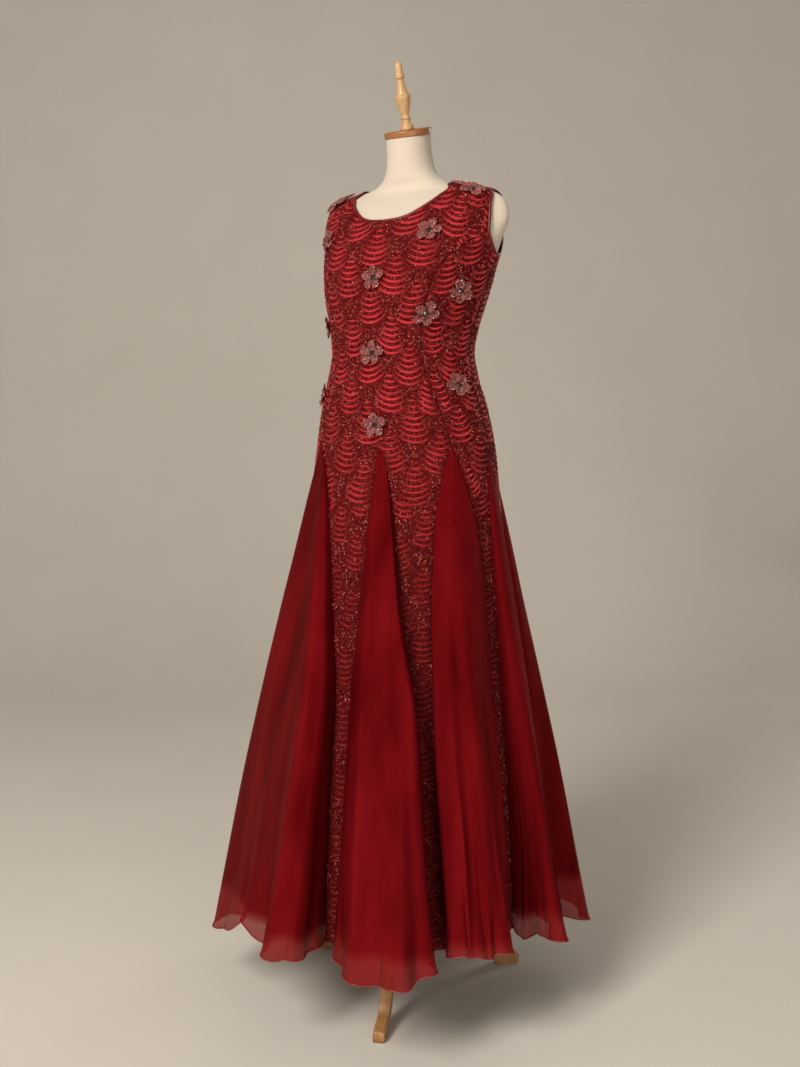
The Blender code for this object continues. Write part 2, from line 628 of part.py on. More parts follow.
def form():
    """The covered torso with its neck and arm stubs, closed below and above."""
    sides = 40
    rings = []
    last = len(FORM_ROWS) - 1
    numbers = np.concatenate((np.arange(0, 6, 1.0), np.arange(6, last + 0.01, 0.667)))
    for number in np.append(numbers[numbers < last - 0.2], last):
        rings.append([plain_point(FORM_ROWS, 360.0 * k / sides, number) for k in range(sides)])
    points = [p for ring in rings for p in ring]
    faces = []
    for j in range(len(rings) - 1):
        for k in range(sides):
            m = (k + 1) % sides
            faces.append((j * sides + k, j * sides + m, (j + 1) * sides + m, (j + 1) * sides + k))
    bottom = len(points)
    points.append(np.mean(rings[0], axis=0))
    points.append(np.mean(rings[-1], axis=0))
    top_start = (len(rings) - 1) * sides
    for k in range(sides):
        m = (k + 1) % sides
        faces.append((bottom, m, k))
        faces.append((bottom + 1, top_start + k, top_start + m))
    solid("form_torso", points, faces, COVER)


form()


def lathe(name, profile, length, surface, origin, axis, sides=16, smooth=True):
    """A turned piece from distance along its axis and radius."""
    axis = np.array(axis, float)
    axis /= np.linalg.norm(axis)
    side = np.cross(axis, (1.0, 0.0, 0.0))
    side /= np.linalg.norm(side)
    other = np.cross(axis, side)
    origin = np.array(origin, float)
    points = [origin + axis * profile[0][0]]
    for along, radius in profile:
        for k in range(sides):
            a = 2 * math.pi * k / sides
            points.append(origin + axis * along + (side * math.cos(a) + other * math.sin(a)) * radius)
    points.append(origin + axis * length)
    end = len(points) - 1
    faces = []
    for k in range(sides):
        m = (k + 1) % sides
        faces.append((0, 1 + m, 1 + k))
        for j in range(len(profile) - 1):
            a = 1 + j * sides
            faces.append((a + k, a + m, a + sides + m, a + sides + k))
        a = 1 + (len(profile) - 1) * sides
        faces.append((end, a + k, a + m))
    solid(name, points, faces, surface, smooth)


neck_top = plain_point(FORM_ROWS, 0.0, len(FORM_ROWS) - 1)
neck_back_top = plain_point(FORM_ROWS, 180.0, len(FORM_ROWS) - 1)
neck_centre = (neck_top + neck_back_top) / 2
neck_axis = np.array((0.0, -TILT, 1.0)) / math.hypot(1.0, TILT)
disc_profile = ((0.0, 0.043), (0.0015, DISC_RADIUS), (DISC_THICKNESS - 0.003, DISC_RADIUS), (DISC_THICKNESS, 0.0425))
disc_start = neck_centre + neck_axis * SEAT
lathe("neck_cap", disc_profile, DISC_THICKNESS, CAP, disc_start, neck_axis, 32)
finial_start = neck_centre + neck_axis * (DISC_THICKNESS + 2 * SEAT)
lathe("finial", FINIAL, FINIAL_LENGTH, TURNED, finial_start, neck_axis, 14)

pole_bottom = HUB_TOP + SEAT
pole_top = FORM_BASE[0][0] - FORM_DROP - SEAT
pole_profile = ((pole_bottom, POLE_RADIUS), (pole_top, POLE_RADIUS))
lathe("pole", pole_profile, pole_top, LEG_WOOD, (0, 0, 0), (0, 0, 1), 16)
hub_profile = (
    (HUB_BOTTOM, 0.026), (HUB_BOTTOM + 0.006, HUB_RADIUS),
    (HUB_TOP - 0.008, HUB_RADIUS), (HUB_TOP, 0.024),
)
lathe("hub", hub_profile, HUB_TOP, LEG_WOOD, (0, 0, 0), (0, 0, 1), 24)


def leg(name, angle):
    """A curved wooden leg, flat under its foot."""
    turn = math.radians(angle)
    out = np.array((math.sin(turn), -math.cos(turn), 0.0))
    side = np.array((math.cos(turn), math.sin(turn), 0.0))
    points = []
    for reach, low, depth, width in LEG_ROWS:
        for across, high in ((-1, 0), (1, 0), (1, 1), (-1, 1)):
            points.append(out * reach + side * across * width / 2 + np.array((0, 0, low + high * depth)))
    faces = [(3, 2, 1, 0)]
    for j in range(len(LEG_ROWS) - 1):
        for k in range(4):
            m = (k + 1) % 4
            faces.append((4 * j + k, 4 * j + m, 4 * j + 4 + m, 4 * j + 4 + k))
    last = 4 * (len(LEG_ROWS) - 1)
    faces.append((last, last + 1, last + 2, last + 3))
    solid(name, points, faces, LEG_WOOD, smooth=False)


for leg_number, leg_angle in enumerate(LEG_ANGLES, start=1):
    leg(f"leg_{leg_number}", leg_angle)
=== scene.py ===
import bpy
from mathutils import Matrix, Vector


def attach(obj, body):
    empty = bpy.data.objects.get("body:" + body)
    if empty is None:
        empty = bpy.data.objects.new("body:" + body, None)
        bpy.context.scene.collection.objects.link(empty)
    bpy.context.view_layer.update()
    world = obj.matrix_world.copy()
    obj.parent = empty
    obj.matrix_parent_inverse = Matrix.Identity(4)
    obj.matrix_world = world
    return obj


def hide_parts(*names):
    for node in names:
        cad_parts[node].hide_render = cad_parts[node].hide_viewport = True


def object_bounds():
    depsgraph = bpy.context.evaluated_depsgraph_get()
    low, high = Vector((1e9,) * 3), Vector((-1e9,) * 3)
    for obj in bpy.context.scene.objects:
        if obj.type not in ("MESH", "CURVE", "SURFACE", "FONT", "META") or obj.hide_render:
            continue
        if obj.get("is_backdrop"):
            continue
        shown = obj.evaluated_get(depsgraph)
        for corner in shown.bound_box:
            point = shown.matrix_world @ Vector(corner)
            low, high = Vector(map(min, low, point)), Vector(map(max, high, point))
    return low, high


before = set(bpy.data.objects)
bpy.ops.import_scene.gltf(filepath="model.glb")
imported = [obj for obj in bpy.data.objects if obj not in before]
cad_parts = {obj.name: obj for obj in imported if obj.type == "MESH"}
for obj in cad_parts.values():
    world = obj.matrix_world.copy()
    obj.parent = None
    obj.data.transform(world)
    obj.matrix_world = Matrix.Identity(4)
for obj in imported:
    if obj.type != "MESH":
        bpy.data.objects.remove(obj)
cad_box = [list(corner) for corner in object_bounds()]

import math

import bpy
import numpy as np
from mathutils import Vector

# The studio. The camera stands 2.3 m from the pole, level with the waist, 32 degrees round to
# the form's left. One broad soft light hangs high on the camera's left, and two weak ones fill in
# from the front and from behind.
VIEW_TURN = math.radians(32.0)
VIEW_DISTANCE = 2.31
VIEW_HEIGHT = 1.108
VIEW_SHIFT = -0.0077
across = Vector((math.cos(VIEW_TURN), math.sin(VIEW_TURN), 0.0))
toward = Vector((math.sin(VIEW_TURN), -math.cos(VIEW_TURN), 0.0))
lens = bpy.data.cameras.new("camera")
lens.lens = 40.7
lens.shift_y = -0.125
camera = bpy.data.objects.new("camera", lens)
camera.location = toward * VIEW_DISTANCE + across * VIEW_SHIFT + Vector((0, 0, VIEW_HEIGHT))
camera.rotation_euler = (-toward).to_track_quat("-Z", "Y").to_euler()
bpy.context.scene.collection.objects.link(camera)
bpy.context.scene.camera = camera
for name, place, aim, size, power, color in (
    ("key", toward * 2.6 - across * 1.7 + Vector((0, 0, 2.8)), 0.9, (1.2, 1.6), 128, (1.0, 0.95, 0.88)),
    ("front", toward * 3.2 + across * 1.2 + Vector((0, 0, 1.0)), 0.5, (1.6, 1.6), 24, (1.0, 0.96, 0.9)),
    ("rim", -toward * 2.0 + across * 1.9 + Vector((0, 0, 2.2)), 1.1, (0.9, 1.6), 12, (1.0, 0.94, 0.88)),
):
    light = bpy.data.lights.new(name, "AREA")
    light.shape = "RECTANGLE"
    light.size, light.size_y = size
    light.energy = power
    light.color = color
    softbox = bpy.data.objects.new(name, light)
    softbox.location = place
    softbox.rotation_euler = (Vector((0, 0, aim)) - place).to_track_quat("-Z", "Y").to_euler()
    bpy.context.scene.collection.objects.link(softbox)
world = bpy.data.worlds.new("studio")
world.use_nodes = True
glow = world.node_tree.nodes["Background"].inputs
glow["Color"].default_value = (0.78, 0.73, 0.67, 1.0)
glow["Strength"].default_value = 0.26
bpy.context.scene.world = world
bpy.context.scene.view_settings.view_transform = "Standard"

# The floor: a pale plain board, bent up behind in one smooth sweep so that it has no edge.
# It is matt and takes a soft shadow.


class Shade:
    """A socket of a material's node tree that takes part in sums as a number does."""

    def __init__(self, tree, socket=None):
        self.tree = tree
        self.socket = socket

    def feed(self, target, value):
        if isinstance(value, Shade):
            self.tree.links.new(value.socket, target)
        else:
            target.default_value = value

    def node(self, kind, settings=None, inputs=None, out=0):
        made = self.tree.nodes.new(kind)
        for key, value in (settings or {}).items():
            setattr(made, key, value)
        for key, value in (inputs or {}).items():
            self.feed(made.inputs[key], value)
        return Shade(self.tree, made.outputs[out])

    def sum(self, operation, first, second):
        return self.node("ShaderNodeMath", {"operation": operation}, {0: first, 1: second})

    def __add__(self, other):
        return self.sum("ADD", self, other)

    __radd__ = __add__

    def __sub__(self, other):
        return self.sum("SUBTRACT", self, other)

    def __rsub__(self, other):
        return self.sum("SUBTRACT", other, self)

    def __mul__(self, other):
        return self.sum("MULTIPLY", self, other)

    __rmul__ = __mul__

    def clipped(self):
        return self.node("ShaderNodeClamp", None, {0: self})

    def mix(self, first, second):
        """Colour between first and second by this value."""
        return self.node("ShaderNodeMix", {"data_type": "RGBA"}, {0: self.clipped(), 6: first, 7: second}, 2)


def new_material(name):
    """A Principled material, and the start of its sums with its shader's inputs."""
    made = bpy.data.materials.new(name)
    made.use_nodes = True
    start = Shade(made.node_tree)
    start.inputs = made.node_tree.nodes["Principled BSDF"].inputs
    return made, start


def place_of(start):
    """Position on the object."""
    return start.node("ShaderNodeTexCoord", out=3)


def noise(start, scale, detail=2.0, where=None, rough=0.5):
    """Even noise from 0 to 1 at a scale per metre."""
    inputs = {"Vector": where or place_of(start), "Scale": scale, "Detail": detail, "Roughness": rough}
    return start.node("ShaderNodeTexNoise", None, inputs)


def bump(start, height, distance, strength):
    """Normal lifted by a height."""
    return start.node("ShaderNodeBump", None, {"Height": height, "Distance": distance, "Strength": strength})


def coat(start, color, roughness, relief=None, constants=None):
    """Feed a material's colour, roughness and relief, and set its constants."""
    start.feed(start.inputs["Base Color"], color)
    start.feed(start.inputs["Roughness"], roughness)
    if relief:
        start.feed(start.inputs["Normal"], bump(start, *relief))
    for name, value in (constants or {}).items():
        start.inputs[name].default_value = value


floor_material, start = new_material("floor_pale")
coat(start, noise(start, 3.0).mix((0.70, 0.65, 0.58, 1), (0.75, 0.70, 0.63, 1)), 0.8)
FLOOR_REACH = 9.0
BEND = 1.2
BEND_START = 2.2
bend_turns = np.linspace(0, math.pi / 2, 9)
sweep = [(-FLOOR_REACH, 0.0)]
sweep += [(BEND_START + BEND * math.sin(a), BEND - BEND * math.cos(a)) for a in bend_turns]
sweep.append((BEND_START + BEND, 7.0))
sides = (-FLOOR_REACH, FLOOR_REACH)
points = [tuple(across * x - toward * y + Vector((0, 0, z))) for x in sides for y, z in sweep]
count = len(sweep)
mesh = bpy.data.meshes.new("floor")
mesh.from_pydata(points, [], [(i, i + count, i + count + 1, i + 1) for i in range(count - 1)])
mesh.materials.append(floor_material)
mesh.shade_smooth()
floor = bpy.data.objects.new("floor", mesh)
bpy.context.scene.collection.objects.link(floor)
floor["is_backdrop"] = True

# The form: a padded shell under tight cream jersey, smooth from hips to neck with stubs at the
# arms, pushed up onto the pole. Its sections are those of the solid, taken more finely.
# Columns: height, half width, front depth, back depth, centre behind the pole, arm stub, bust,
# tilt, ease of the cloth over it
TORSO = (
    (1.060, 0.176, 0.129, 0.134, 0.002, 0.000, 0.000, 0.0, 0.0026),
    (1.130, 0.163, 0.121, 0.126, -0.002, 0.000, 0.000, 0.0, 0.0028),
    (1.190, 0.146, 0.112, 0.114, -0.005, 0.000, 0.000, 0.0, 0.0030),
    (1.240, 0.137, 0.106, 0.108, -0.005, 0.000, 0.002, 0.0, 0.0034),
    (1.290, 0.143, 0.111, 0.111, 0.003, 0.000, 0.008, 0.0, 0.0036),
    (1.340, 0.155, 0.118, 0.118, 0.012, 0.000, 0.015, 0.0, 0.0036),
    (1.390, 0.167, 0.121, 0.122, 0.020, 0.001, 0.013, 0.0, 0.0034),
    (1.440, 0.178, 0.113, 0.118, 0.025, 0.008, 0.004, 0.0, 0.0030),
    (1.490, 0.184, 0.093, 0.106, 0.029, 0.022, 0.000, 0.0, 0.0026),
    (1.520, 0.181, 0.073, 0.087, 0.031, 0.017, 0.000, 0.0, 0.0021),
    (1.538, 0.168, 0.054, 0.064, 0.031, 0.007, 0.000, 0.0, 0.0016),
    (1.549, 0.130, 0.044, 0.050, 0.031, 0.000, 0.000, 0.0, 0.0012),
    (1.559, 0.088, 0.043, 0.047, 0.031, 0.000, 0.000, 0.0, 0.0012),
)
NECK = (
    (1.574, 0.060, 0.045, 0.046, 0.028, 0.0, 0.0, 0.1, 0.0),
    (1.598, 0.047, 0.045, 0.045, 0.024, 0.0, 0.0, 0.3, 0.0),
    (1.630, 0.043, 0.043, 0.043, 0.019, 0.0, 0.0, 0.7, 0.0),
    (1.657, 0.043, 0.043, 0.043, 0.016, 0.0, 0.0, 1.0, 0.0),
)
FORM_BASE = (
    (0.840, 0.150, 0.106, 0.110, 0.002, 0.0, 0.0, 0.0, 0.0),
    (0.900, 0.166, 0.120, 0.125, 0.002, 0.0, 0.0, 0.0, 0.0),
    (0.980, 0.175, 0.128, 0.133, 0.002, 0.0, 0.0, 0.0, 0.0),
)
BUST_ANGLE = 31.0
BUST_SPREAD = 30.0
STUB_ANGLE = 96.0
STUB_SPREAD = 14.0
TILT = math.tan(math.radians(16.0))
FORM_DROP = 0.041


def curve(xs, ys, x):
    """Smooth values at x of the line through the points xs, ys, with no overshoot."""
    xs, ys = np.asarray(xs, float), np.asarray(ys, float)
    steps = np.diff(xs)
    rises = (np.diff(ys, axis=0).T / steps).T
    before, after = rises[:-1], rises[1:]
    same = before * after > 0
    slopes = np.zeros_like(ys)
    slopes[[0, -1]] = rises[[0, -1]]
    slopes[1:-1] = np.where(same, 2 * before * after / np.where(same, before + after, 1.0), 0.0)
    x = np.clip(np.asarray(x, float), xs[0], xs[-1])
    i = np.minimum(np.searchsorted(xs, x, side="right") - 1, len(steps) - 1)
    wide = (..., None) if ys.ndim > 1 else ...
    f = ((x - xs[i]) / steps[i])[wide]
    step = steps[i][wide]
    g = 1 - f
    begun = (1 + 2 * f) * g * g * ys[i] + f * g * g * step * slopes[i]
    return begun + f * f * (3 - 2 * f) * ys[i + 1] - f * f * g * step * slopes[i + 1]


def plain_points(rows, angle, number):
    """Points of a table's own surface at angles and row numbers."""
    values = np.moveaxis(curve(np.arange(len(rows)), rows, number), -1, 0)
    z, width, front, back, centre, stub, bust, tilt, _ = values
    turn = np.radians(angle)
    side = np.abs((angle + 180.0) % 360.0 - 180.0)
    depth = np.where(np.cos(turn) > 0, front, back)
    swell = bust * np.exp(-(((side - BUST_ANGLE) / BUST_SPREAD) ** 2))
    width = width + stub * np.exp(-(((side - STUB_ANGLE) / STUB_SPREAD) ** 2))
    x = (width + swell) * np.sin(turn)
    y = centre - (depth + swell) * np.cos(turn)
    return np.stack((x, y, z - FORM_DROP + (y - centre) * tilt * TILT), -1)


def make_mesh(name, points, faces, surface, smooth=True):
    """A mesh object that rides on the root body."""
    made_mesh = bpy.data.meshes.new(name)
    made_mesh.from_pydata(np.asarray(points).tolist(), [], [tuple(int(i) for i in f) for f in faces])
    made_mesh.materials.append(surface)
    if smooth:
        made_mesh.shade_smooth()
    made = bpy.data.objects.new(name, made_mesh)
    bpy.context.scene.collection.objects.link(made)
    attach(made, "root")
    return made


def grid_faces(rows, columns, base=0):
    """Quads between rings of points."""
    faces = []
    for low in range(base, base + (rows - 1) * columns, columns):
        for c in range(columns):
            d = (c + 1) % columns
            faces.append((low + c, low + d, low + columns + d, low + columns + c))
    return faces


def capped(rows, columns):
    """Quads between rings of points, with a face over each end."""
    last = (rows - 1) * columns
    return grid_faces(rows, columns) + [tuple(range(columns))[::-1], tuple(range(last, last + columns))]


def threads_of(start, direction, scale, distortion, detail):
    """Fine bands from 0 to 1, as of threads."""
    inputs = {"Vector": place_of(start), "Scale": scale, "Distortion": distortion, "Detail": detail}
    return start.node("ShaderNodeTexWave", {"wave_type": "BANDS", "bands_direction": direction}, inputs, 1)


jersey, start = new_material("form_jersey")
weave = threads_of(start, "Z", 420.0, 1.5, 1.0)
tone = noise(start, 9.0) * 0.6 + noise(start, 160.0) * 0.4
coat(start, tone.mix((0.62, 0.51, 0.40, 1), (0.73, 0.63, 0.52, 1)), 0.85,
     (weave + noise(start, 300.0), 0.0003, 0.5), {"Sheen Weight": 0.25})
form_rows = np.array(FORM_BASE + TORSO + NECK)
FORM_SIDES = 120
FORM_RINGS = 118
form_angles, form_numbers = np.meshgrid(
    np.arange(FORM_SIDES) * 360.0 / FORM_SIDES, np.linspace(0, len(form_rows) - 1, FORM_RINGS))
points = plain_points(form_rows, form_angles, form_numbers).reshape(-1, 3)
form = make_mesh("form_cover", points, capped(FORM_RINGS, FORM_SIDES), jersey)
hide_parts("form_torso")

# The net: seven cut panels of fine dark red net over lining, joined at princess, side and back
# seams, with the front cut in one and slit for its godet. The legs taper between the godets.
PANEL_WALL = 0.0016
HALF_GAP = 0.00017
SHOULDER_GAP = 0.35
HEM_RADIUS = 0.250
HEM_HEIGHT = 0.205
SKIRT = tuple((*row, 0.0, 0.0, 0.0, 0.0024) for row in (
    (0.060, 0.250, 0.250, 0.250, 0.0),
    (0.160, 0.246, 0.246, 0.246, 0.0),
    (0.260, 0.241, 0.240, 0.240, 0.0),
    (0.360, 0.235, 0.232, 0.232, 0.0),
    (0.460, 0.228, 0.222, 0.222, 0.0),
    (0.560, 0.219, 0.210, 0.210, 0.0),
    (0.660, 0.210, 0.196, 0.197, 0.0),
    (0.760, 0.201, 0.181, 0.182, 0.0),
    (0.860, 0.193, 0.165, 0.167, 0.001),
    (0.960, 0.185, 0.148, 0.151, 0.001),
))
# Centre angle and height, princess angle left and right, princess height, side left and right
FRONT_ROWS = (
    (8.0, 1.068, 55.0, -46.0, 1.072, 88.0, -90.0),
    (7.0, 1.110, 52.0, -44.5, 1.112, 88.5, -90.0),
    (5.5, 1.155, 47.5, -42.5, 1.155, 89.0, -90.0),
    (4.0, 1.200, 43.5, -40.5, 1.199, 89.5, -90.0),
    (3.0, 1.240, 40.5, -39.0, 1.240, 90.0, -90.0),
    (2.0, 1.280, 39.0, -38.5, 1.280, 90.5, -90.5),
    (1.0, 1.320, 38.5, -38.5, 1.320, 91.0, -91.0),
    (0.5, 1.358, 39.5, -39.5, 1.358, 92.0, -92.0),
    (0.0, 1.392, 43.0, -43.0, 1.390, 93.0, -93.0),
    (0.0, 1.423, 51.0, -51.0, 1.416, 94.0, -94.0),
    (0.0, 1.448, 60.0, -60.0, 1.436, 94.8, -94.8),
    (0.0, 1.467, 69.0, -69.0, 1.450, 95.4, -95.4),
    (0.0, 1.482, 76.5, -76.5, 1.460, 96.0, -96.0),
)
# Neckline angle and height, armhole angle and height
FRONT_STRAP = (
    (8.0, 1.484, 75.0, 1.480),
    (15.0, 1.490, 74.5, 1.498),
    (21.0, 1.501, 75.0, 1.513),
    (27.0, 1.515, 77.5, 1.525),
    (34.0, 1.532, 81.0, 1.534),
    (44.0, 1.546, 85.0, 1.539),
    (56.0, 1.553, 87.0, 1.541),
    (72.0, 1.556, 88.5, 1.542),
    (90.0, 1.557, 90.0, 1.543),
)
# Centre seam height, princess angle left and right
BACK_ROWS = (
    (1.068, 133.0, -135.0),
    (1.112, 135.0, -136.0),
    (1.158, 138.0, -138.5),
    (1.204, 141.0, -141.0),
    (1.246, 143.0, -143.0),
    (1.288, 144.0, -144.0),
    (1.330, 143.5, -143.5),
    (1.372, 141.0, -141.0),
    (1.410, 136.5, -136.5),
    (1.442, 130.5, -130.5),
    (1.470, 124.0, -124.0),
    (1.493, 118.5, -118.5),
    (1.512, 113.5, -113.5),
)
BACK_STRAP = (
    (171.0, 1.514, 114.5, 1.481),
    (162.0, 1.519, 114.0, 1.498),
    (154.0, 1.526, 112.0, 1.513),
    (146.0, 1.535, 108.0, 1.525),
    (137.0, 1.546, 102.5, 1.534),
    (125.0, 1.553, 97.0, 1.539),
    (108.0, 1.556, 92.5, 1.542),
    (90.0, 1.557, 90.0, 1.543),
)
SIDE_TOP = 1.420
SIDE_LOW = 1.056
ARMHOLE_SAG = 0.010
LEG_STEPS = (0.0, 0.035, 0.08, 0.13, 0.19, 0.26, 0.34, 0.43, 0.52, 0.61, 0.70, 0.79, 0.87, 0.94, 1.0)
SEAM_STEPS = (0.0, 0.05, 0.11, 0.19, 0.33, 0.54, 1.0)
# Height of each godet's point and the angles of its two seams at SEAM_STEPS
SEAMS = {
    1: (1.072, (-46, -48, -50, -52, -57, -62, -66), (-46, -35, -27, -20.5, -12, -4, -2)),
    2: (1.068, (8, 7.7, 7.6, 7.4, 7.4, 7.0, 8), (8, 14, 18, 21.2, 26, 34, 38)),
    3: (1.072, (55, 51, 48, 46, 45.3, 46, 50), (55, 61, 68, 74, 76, 75, 72)),
    4: (1.056, (88, 86.8, 86.4, 86, 86, 85, 84), (88, 94, 99, 103, 106, 106, 104)),
    5: (1.072, (133, 129, 126, 123, 120, 117, 116), (133, 136, 139, 142, 146, 149, 150)),
    6: (1.068, (180, 177, 174, 171, 166, 162, 160), (180, 183, 186, 189, 194, 198, 200)),
    7: (1.072, (-135, -138, -141, -144, -147, -149, -150), (-135, -132, -129, -126, -121, -116, -114)),
    8: (1.056, (-90, -94, -97, -100, -103, -104, -104), (-90, -87, -85, -82, -79, -77, -76)),
}
gown_rows = np.array(SKIRT + TORSO)
row_numbers = np.linspace(0, len(gown_rows) - 1, 1400)
row_heights = curve(np.arange(len(gown_rows)), gown_rows[:, 0], row_numbers)


def gown_frame(angle, height):
    """Points on the inside of the gown and their outward normals."""
    angle = np.asarray(angle, float)
    number = np.interp(height, row_heights, row_numbers)
    above = np.minimum(number + 0.03, len(gown_rows) - 1)
    below = np.maximum(number - 0.03, 0)
    sideways = plain_points(gown_rows, angle + 0.6, number) - plain_points(gown_rows, angle - 0.6, number)
    upward = plain_points(gown_rows, angle, above) - plain_points(gown_rows, angle, below)
    normal = np.cross(sideways, upward)
    normal /= np.linalg.norm(normal, axis=-1, keepdims=True)
    ease = curve(np.arange(len(gown_rows)), gown_rows[:, -1], number)
    return plain_points(gown_rows, angle, number) + normal * ease[..., None], normal


def pulled(point, gap):
    """A seam point moved along the cloth by half the seam gap."""
    angle, height = point
    number = np.interp(height, row_heights, row_numbers)
    ends = [plain_points(gown_rows, np.array(angle + turn), number) for turn in (1.0, -1.0)]
    return angle + gap * 2.0 / np.linalg.norm(ends[0] - ends[1]), height


def seam(godet, side, step):
    """Angle and height of a godet's seam at a share of the way down."""
    top = SEAMS[godet][0]
    return float(curve(SEAM_STEPS, SEAMS[godet][1 + side], step)), top + (HEM_HEIGHT - top) * step


def leg_rows(left, right, flipped=False):
    """Rows of a tapered leg between two godets, from the hem up: two edge points and a sag."""
    rows = []
    for step in LEG_STEPS[:0:-1]:
        a = pulled(seam(left, 1, step), HALF_GAP)
        b = pulled(seam(right, 0, step), -HALF_GAP)
        rows.append((*b, *a, 0.0) if flipped else (*a, *b, 0.0))
    return rows


def strap_rows(strap, sign, end):
    """Rows of a shoulder strap up to the shoulder seam, where it ends at an angle."""
    rows = [(sign * a, b, sign * c, d, 0.0) for a, b, c, d in strap[:-1]]
    return rows + [(sign * end, strap[-1][1], sign * end, strap[-1][3], 0.0)]


def front_half(sign):
    """Rows of half the front from the centre out."""
    column = 2 if sign > 0 else 3
    rows = leg_rows(2, 3) if sign > 0 else leg_rows(1, 2, True)
    for row in FRONT_ROWS:
        rows.append((row[0], row[1], *pulled((row[column], row[4]), -sign * HALF_GAP), 0.0))
    return rows + strap_rows(FRONT_STRAP, sign, 90.0 - SHOULDER_GAP)


def back_half(sign):
    """Rows of half the back from the centre seam out."""
    column = 1 if sign > 0 else 2
    rows = leg_rows(5, 6, True) if sign > 0 else leg_rows(6, 7)
    rows = [(a - 360.0 if sign < 0 and a > 0 else a, *rest) for a, *rest in rows]
    for back, front in zip(BACK_ROWS, FRONT_ROWS):
        centre = pulled((180.0 * sign, back[0]), -sign * HALF_GAP)
        rows.append((*centre, *pulled((back[column], front[4]), sign * HALF_GAP), 0.0))
    return rows + strap_rows(BACK_STRAP, sign, 90.0 + SHOULDER_GAP)


def side_rows(left, right, sign, front):
    """Rows of a side-front or side-back piece from the hem to the armhole."""
    rows = leg_rows(left, right)
    low, high = FRONT_ROWS[0][4], FRONT_ROWS[-1][4]
    for j, (row, back) in enumerate(zip(FRONT_ROWS, BACK_ROWS)):
        side = (row[5 if sign > 0 else 6], SIDE_LOW + (row[4] - low) * (SIDE_TOP - SIDE_LOW) / (high - low))
        princess = (row[2 if sign > 0 else 3] if front else back[1 if sign > 0 else 2], row[4])
        a, b = sorted((side, princess))
        sag = ARMHOLE_SAG * max(0.0, (j - len(FRONT_ROWS) + 4) / 3.0)
        rows.append((*pulled(a, HALF_GAP), *pulled(b, -HALF_GAP), sag))
    return rows


def height_of(start):
    """Height above the floor."""
    return start.node("ShaderNodeSeparateXYZ", None, {0: place_of(start)}, 2)


def cells(start, feature, scale, out=0):
    """A pattern of small cells at a scale per metre."""
    inputs = {"Vector": place_of(start), "Scale": scale}
    return start.node("ShaderNodeTexVoronoi", {"feature": feature}, inputs, out)


net, start = new_material("net_ground")
threads = cells(start, "DISTANCE_TO_EDGE", 620.0)
specks = noise(start, 520.0, 2.0)
patches = noise(start, 26.0, 2.0)
# The bright cells stand for tiny beads in the net and are painted as glints.
glitter = start.node("ShaderNodeSeparateColor", None, {0: cells(start, "F1", 430.0, 1)})
# Painted shade: the glints are dimmed towards the bottom, below about 0.98 m, where the legs lie under the
# godets.
leg_painted_shade = ((0.98 - height_of(start)) * 6.0).clipped()
ground = (threads * 3.0).mix((0.12, 0.0015, 0.003, 1), (0.04, 0.0006, 0.0012, 1))
sparkle = ((glitter - 0.62) * 5.0).clipped() * (0.8 - leg_painted_shade * 0.45)
beads_and_glints = sparkle.mix(ground, (0.27, 0.022, 0.020, 1))
# Pale pinkish specks painted as glints on the net.
glint_specks = (specks + patches * 0.16 - 0.74) * 9.0
coat(start, glint_specks.mix(beads_and_glints, (0.30, 0.04, 0.035, 1)), 0.42 + 0.35 * noise(start, 900.0),
     (specks * 1.4 + glitter * 0.8 - threads, 0.0012, 0.9), {"Specular IOR Level": 0.08})

# Name, node replaced, blocks of rows, and cut width, length and area
PANELS = (
    ("net_front", "front_panel", (front_half(1), front_half(-1)), (0.50, 1.42, 0.250)),
    ("net_back_left", "back_panel_left", (back_half(1),), (0.25, 1.41, 0.125)),
    ("net_back_right", "back_panel_right", (back_half(-1),), (0.25, 1.41, 0.125)),
    ("net_side_front_left", "side_front_left", (side_rows(3, 4, 1, True),), (0.16, 1.31, 0.080)),
    ("net_side_front_right", "side_front_right", (side_rows(8, 1, -1, True),), (0.16, 1.31, 0.100)),
    ("net_side_back_left", "side_back_left", (side_rows(4, 5, 1, False),), (0.16, 1.31, 0.090)),
    ("net_side_back_right", "side_back_right", (side_rows(7, 8, -1, False),), (0.16, 1.31, 0.094)),
)
FINE_ROWS = 5
FINE_COLUMNS = 22
INSIDE_GAP = 0.0003


def finer(rows):
    """The same rows, taken more closely."""
    rows = np.array(rows)
    places = np.linspace(0, len(rows) - 1, (len(rows) - 1) * FINE_ROWS + 1)
    return curve(np.arange(len(rows)), rows, places)


def row_points(rows):
    """Angles and heights of a block's grid."""
    f = np.linspace(0, 1, FINE_COLUMNS + 1)[None, :]
    angle = rows[:, 0:1] + (rows[:, 2:3] - rows[:, 0:1]) * f
    height = rows[:, 1:2] + (rows[:, 3:4] - rows[:, 1:2]) * f - rows[:, 4:5] * 4 * f * (1 - f)
    return angle, height


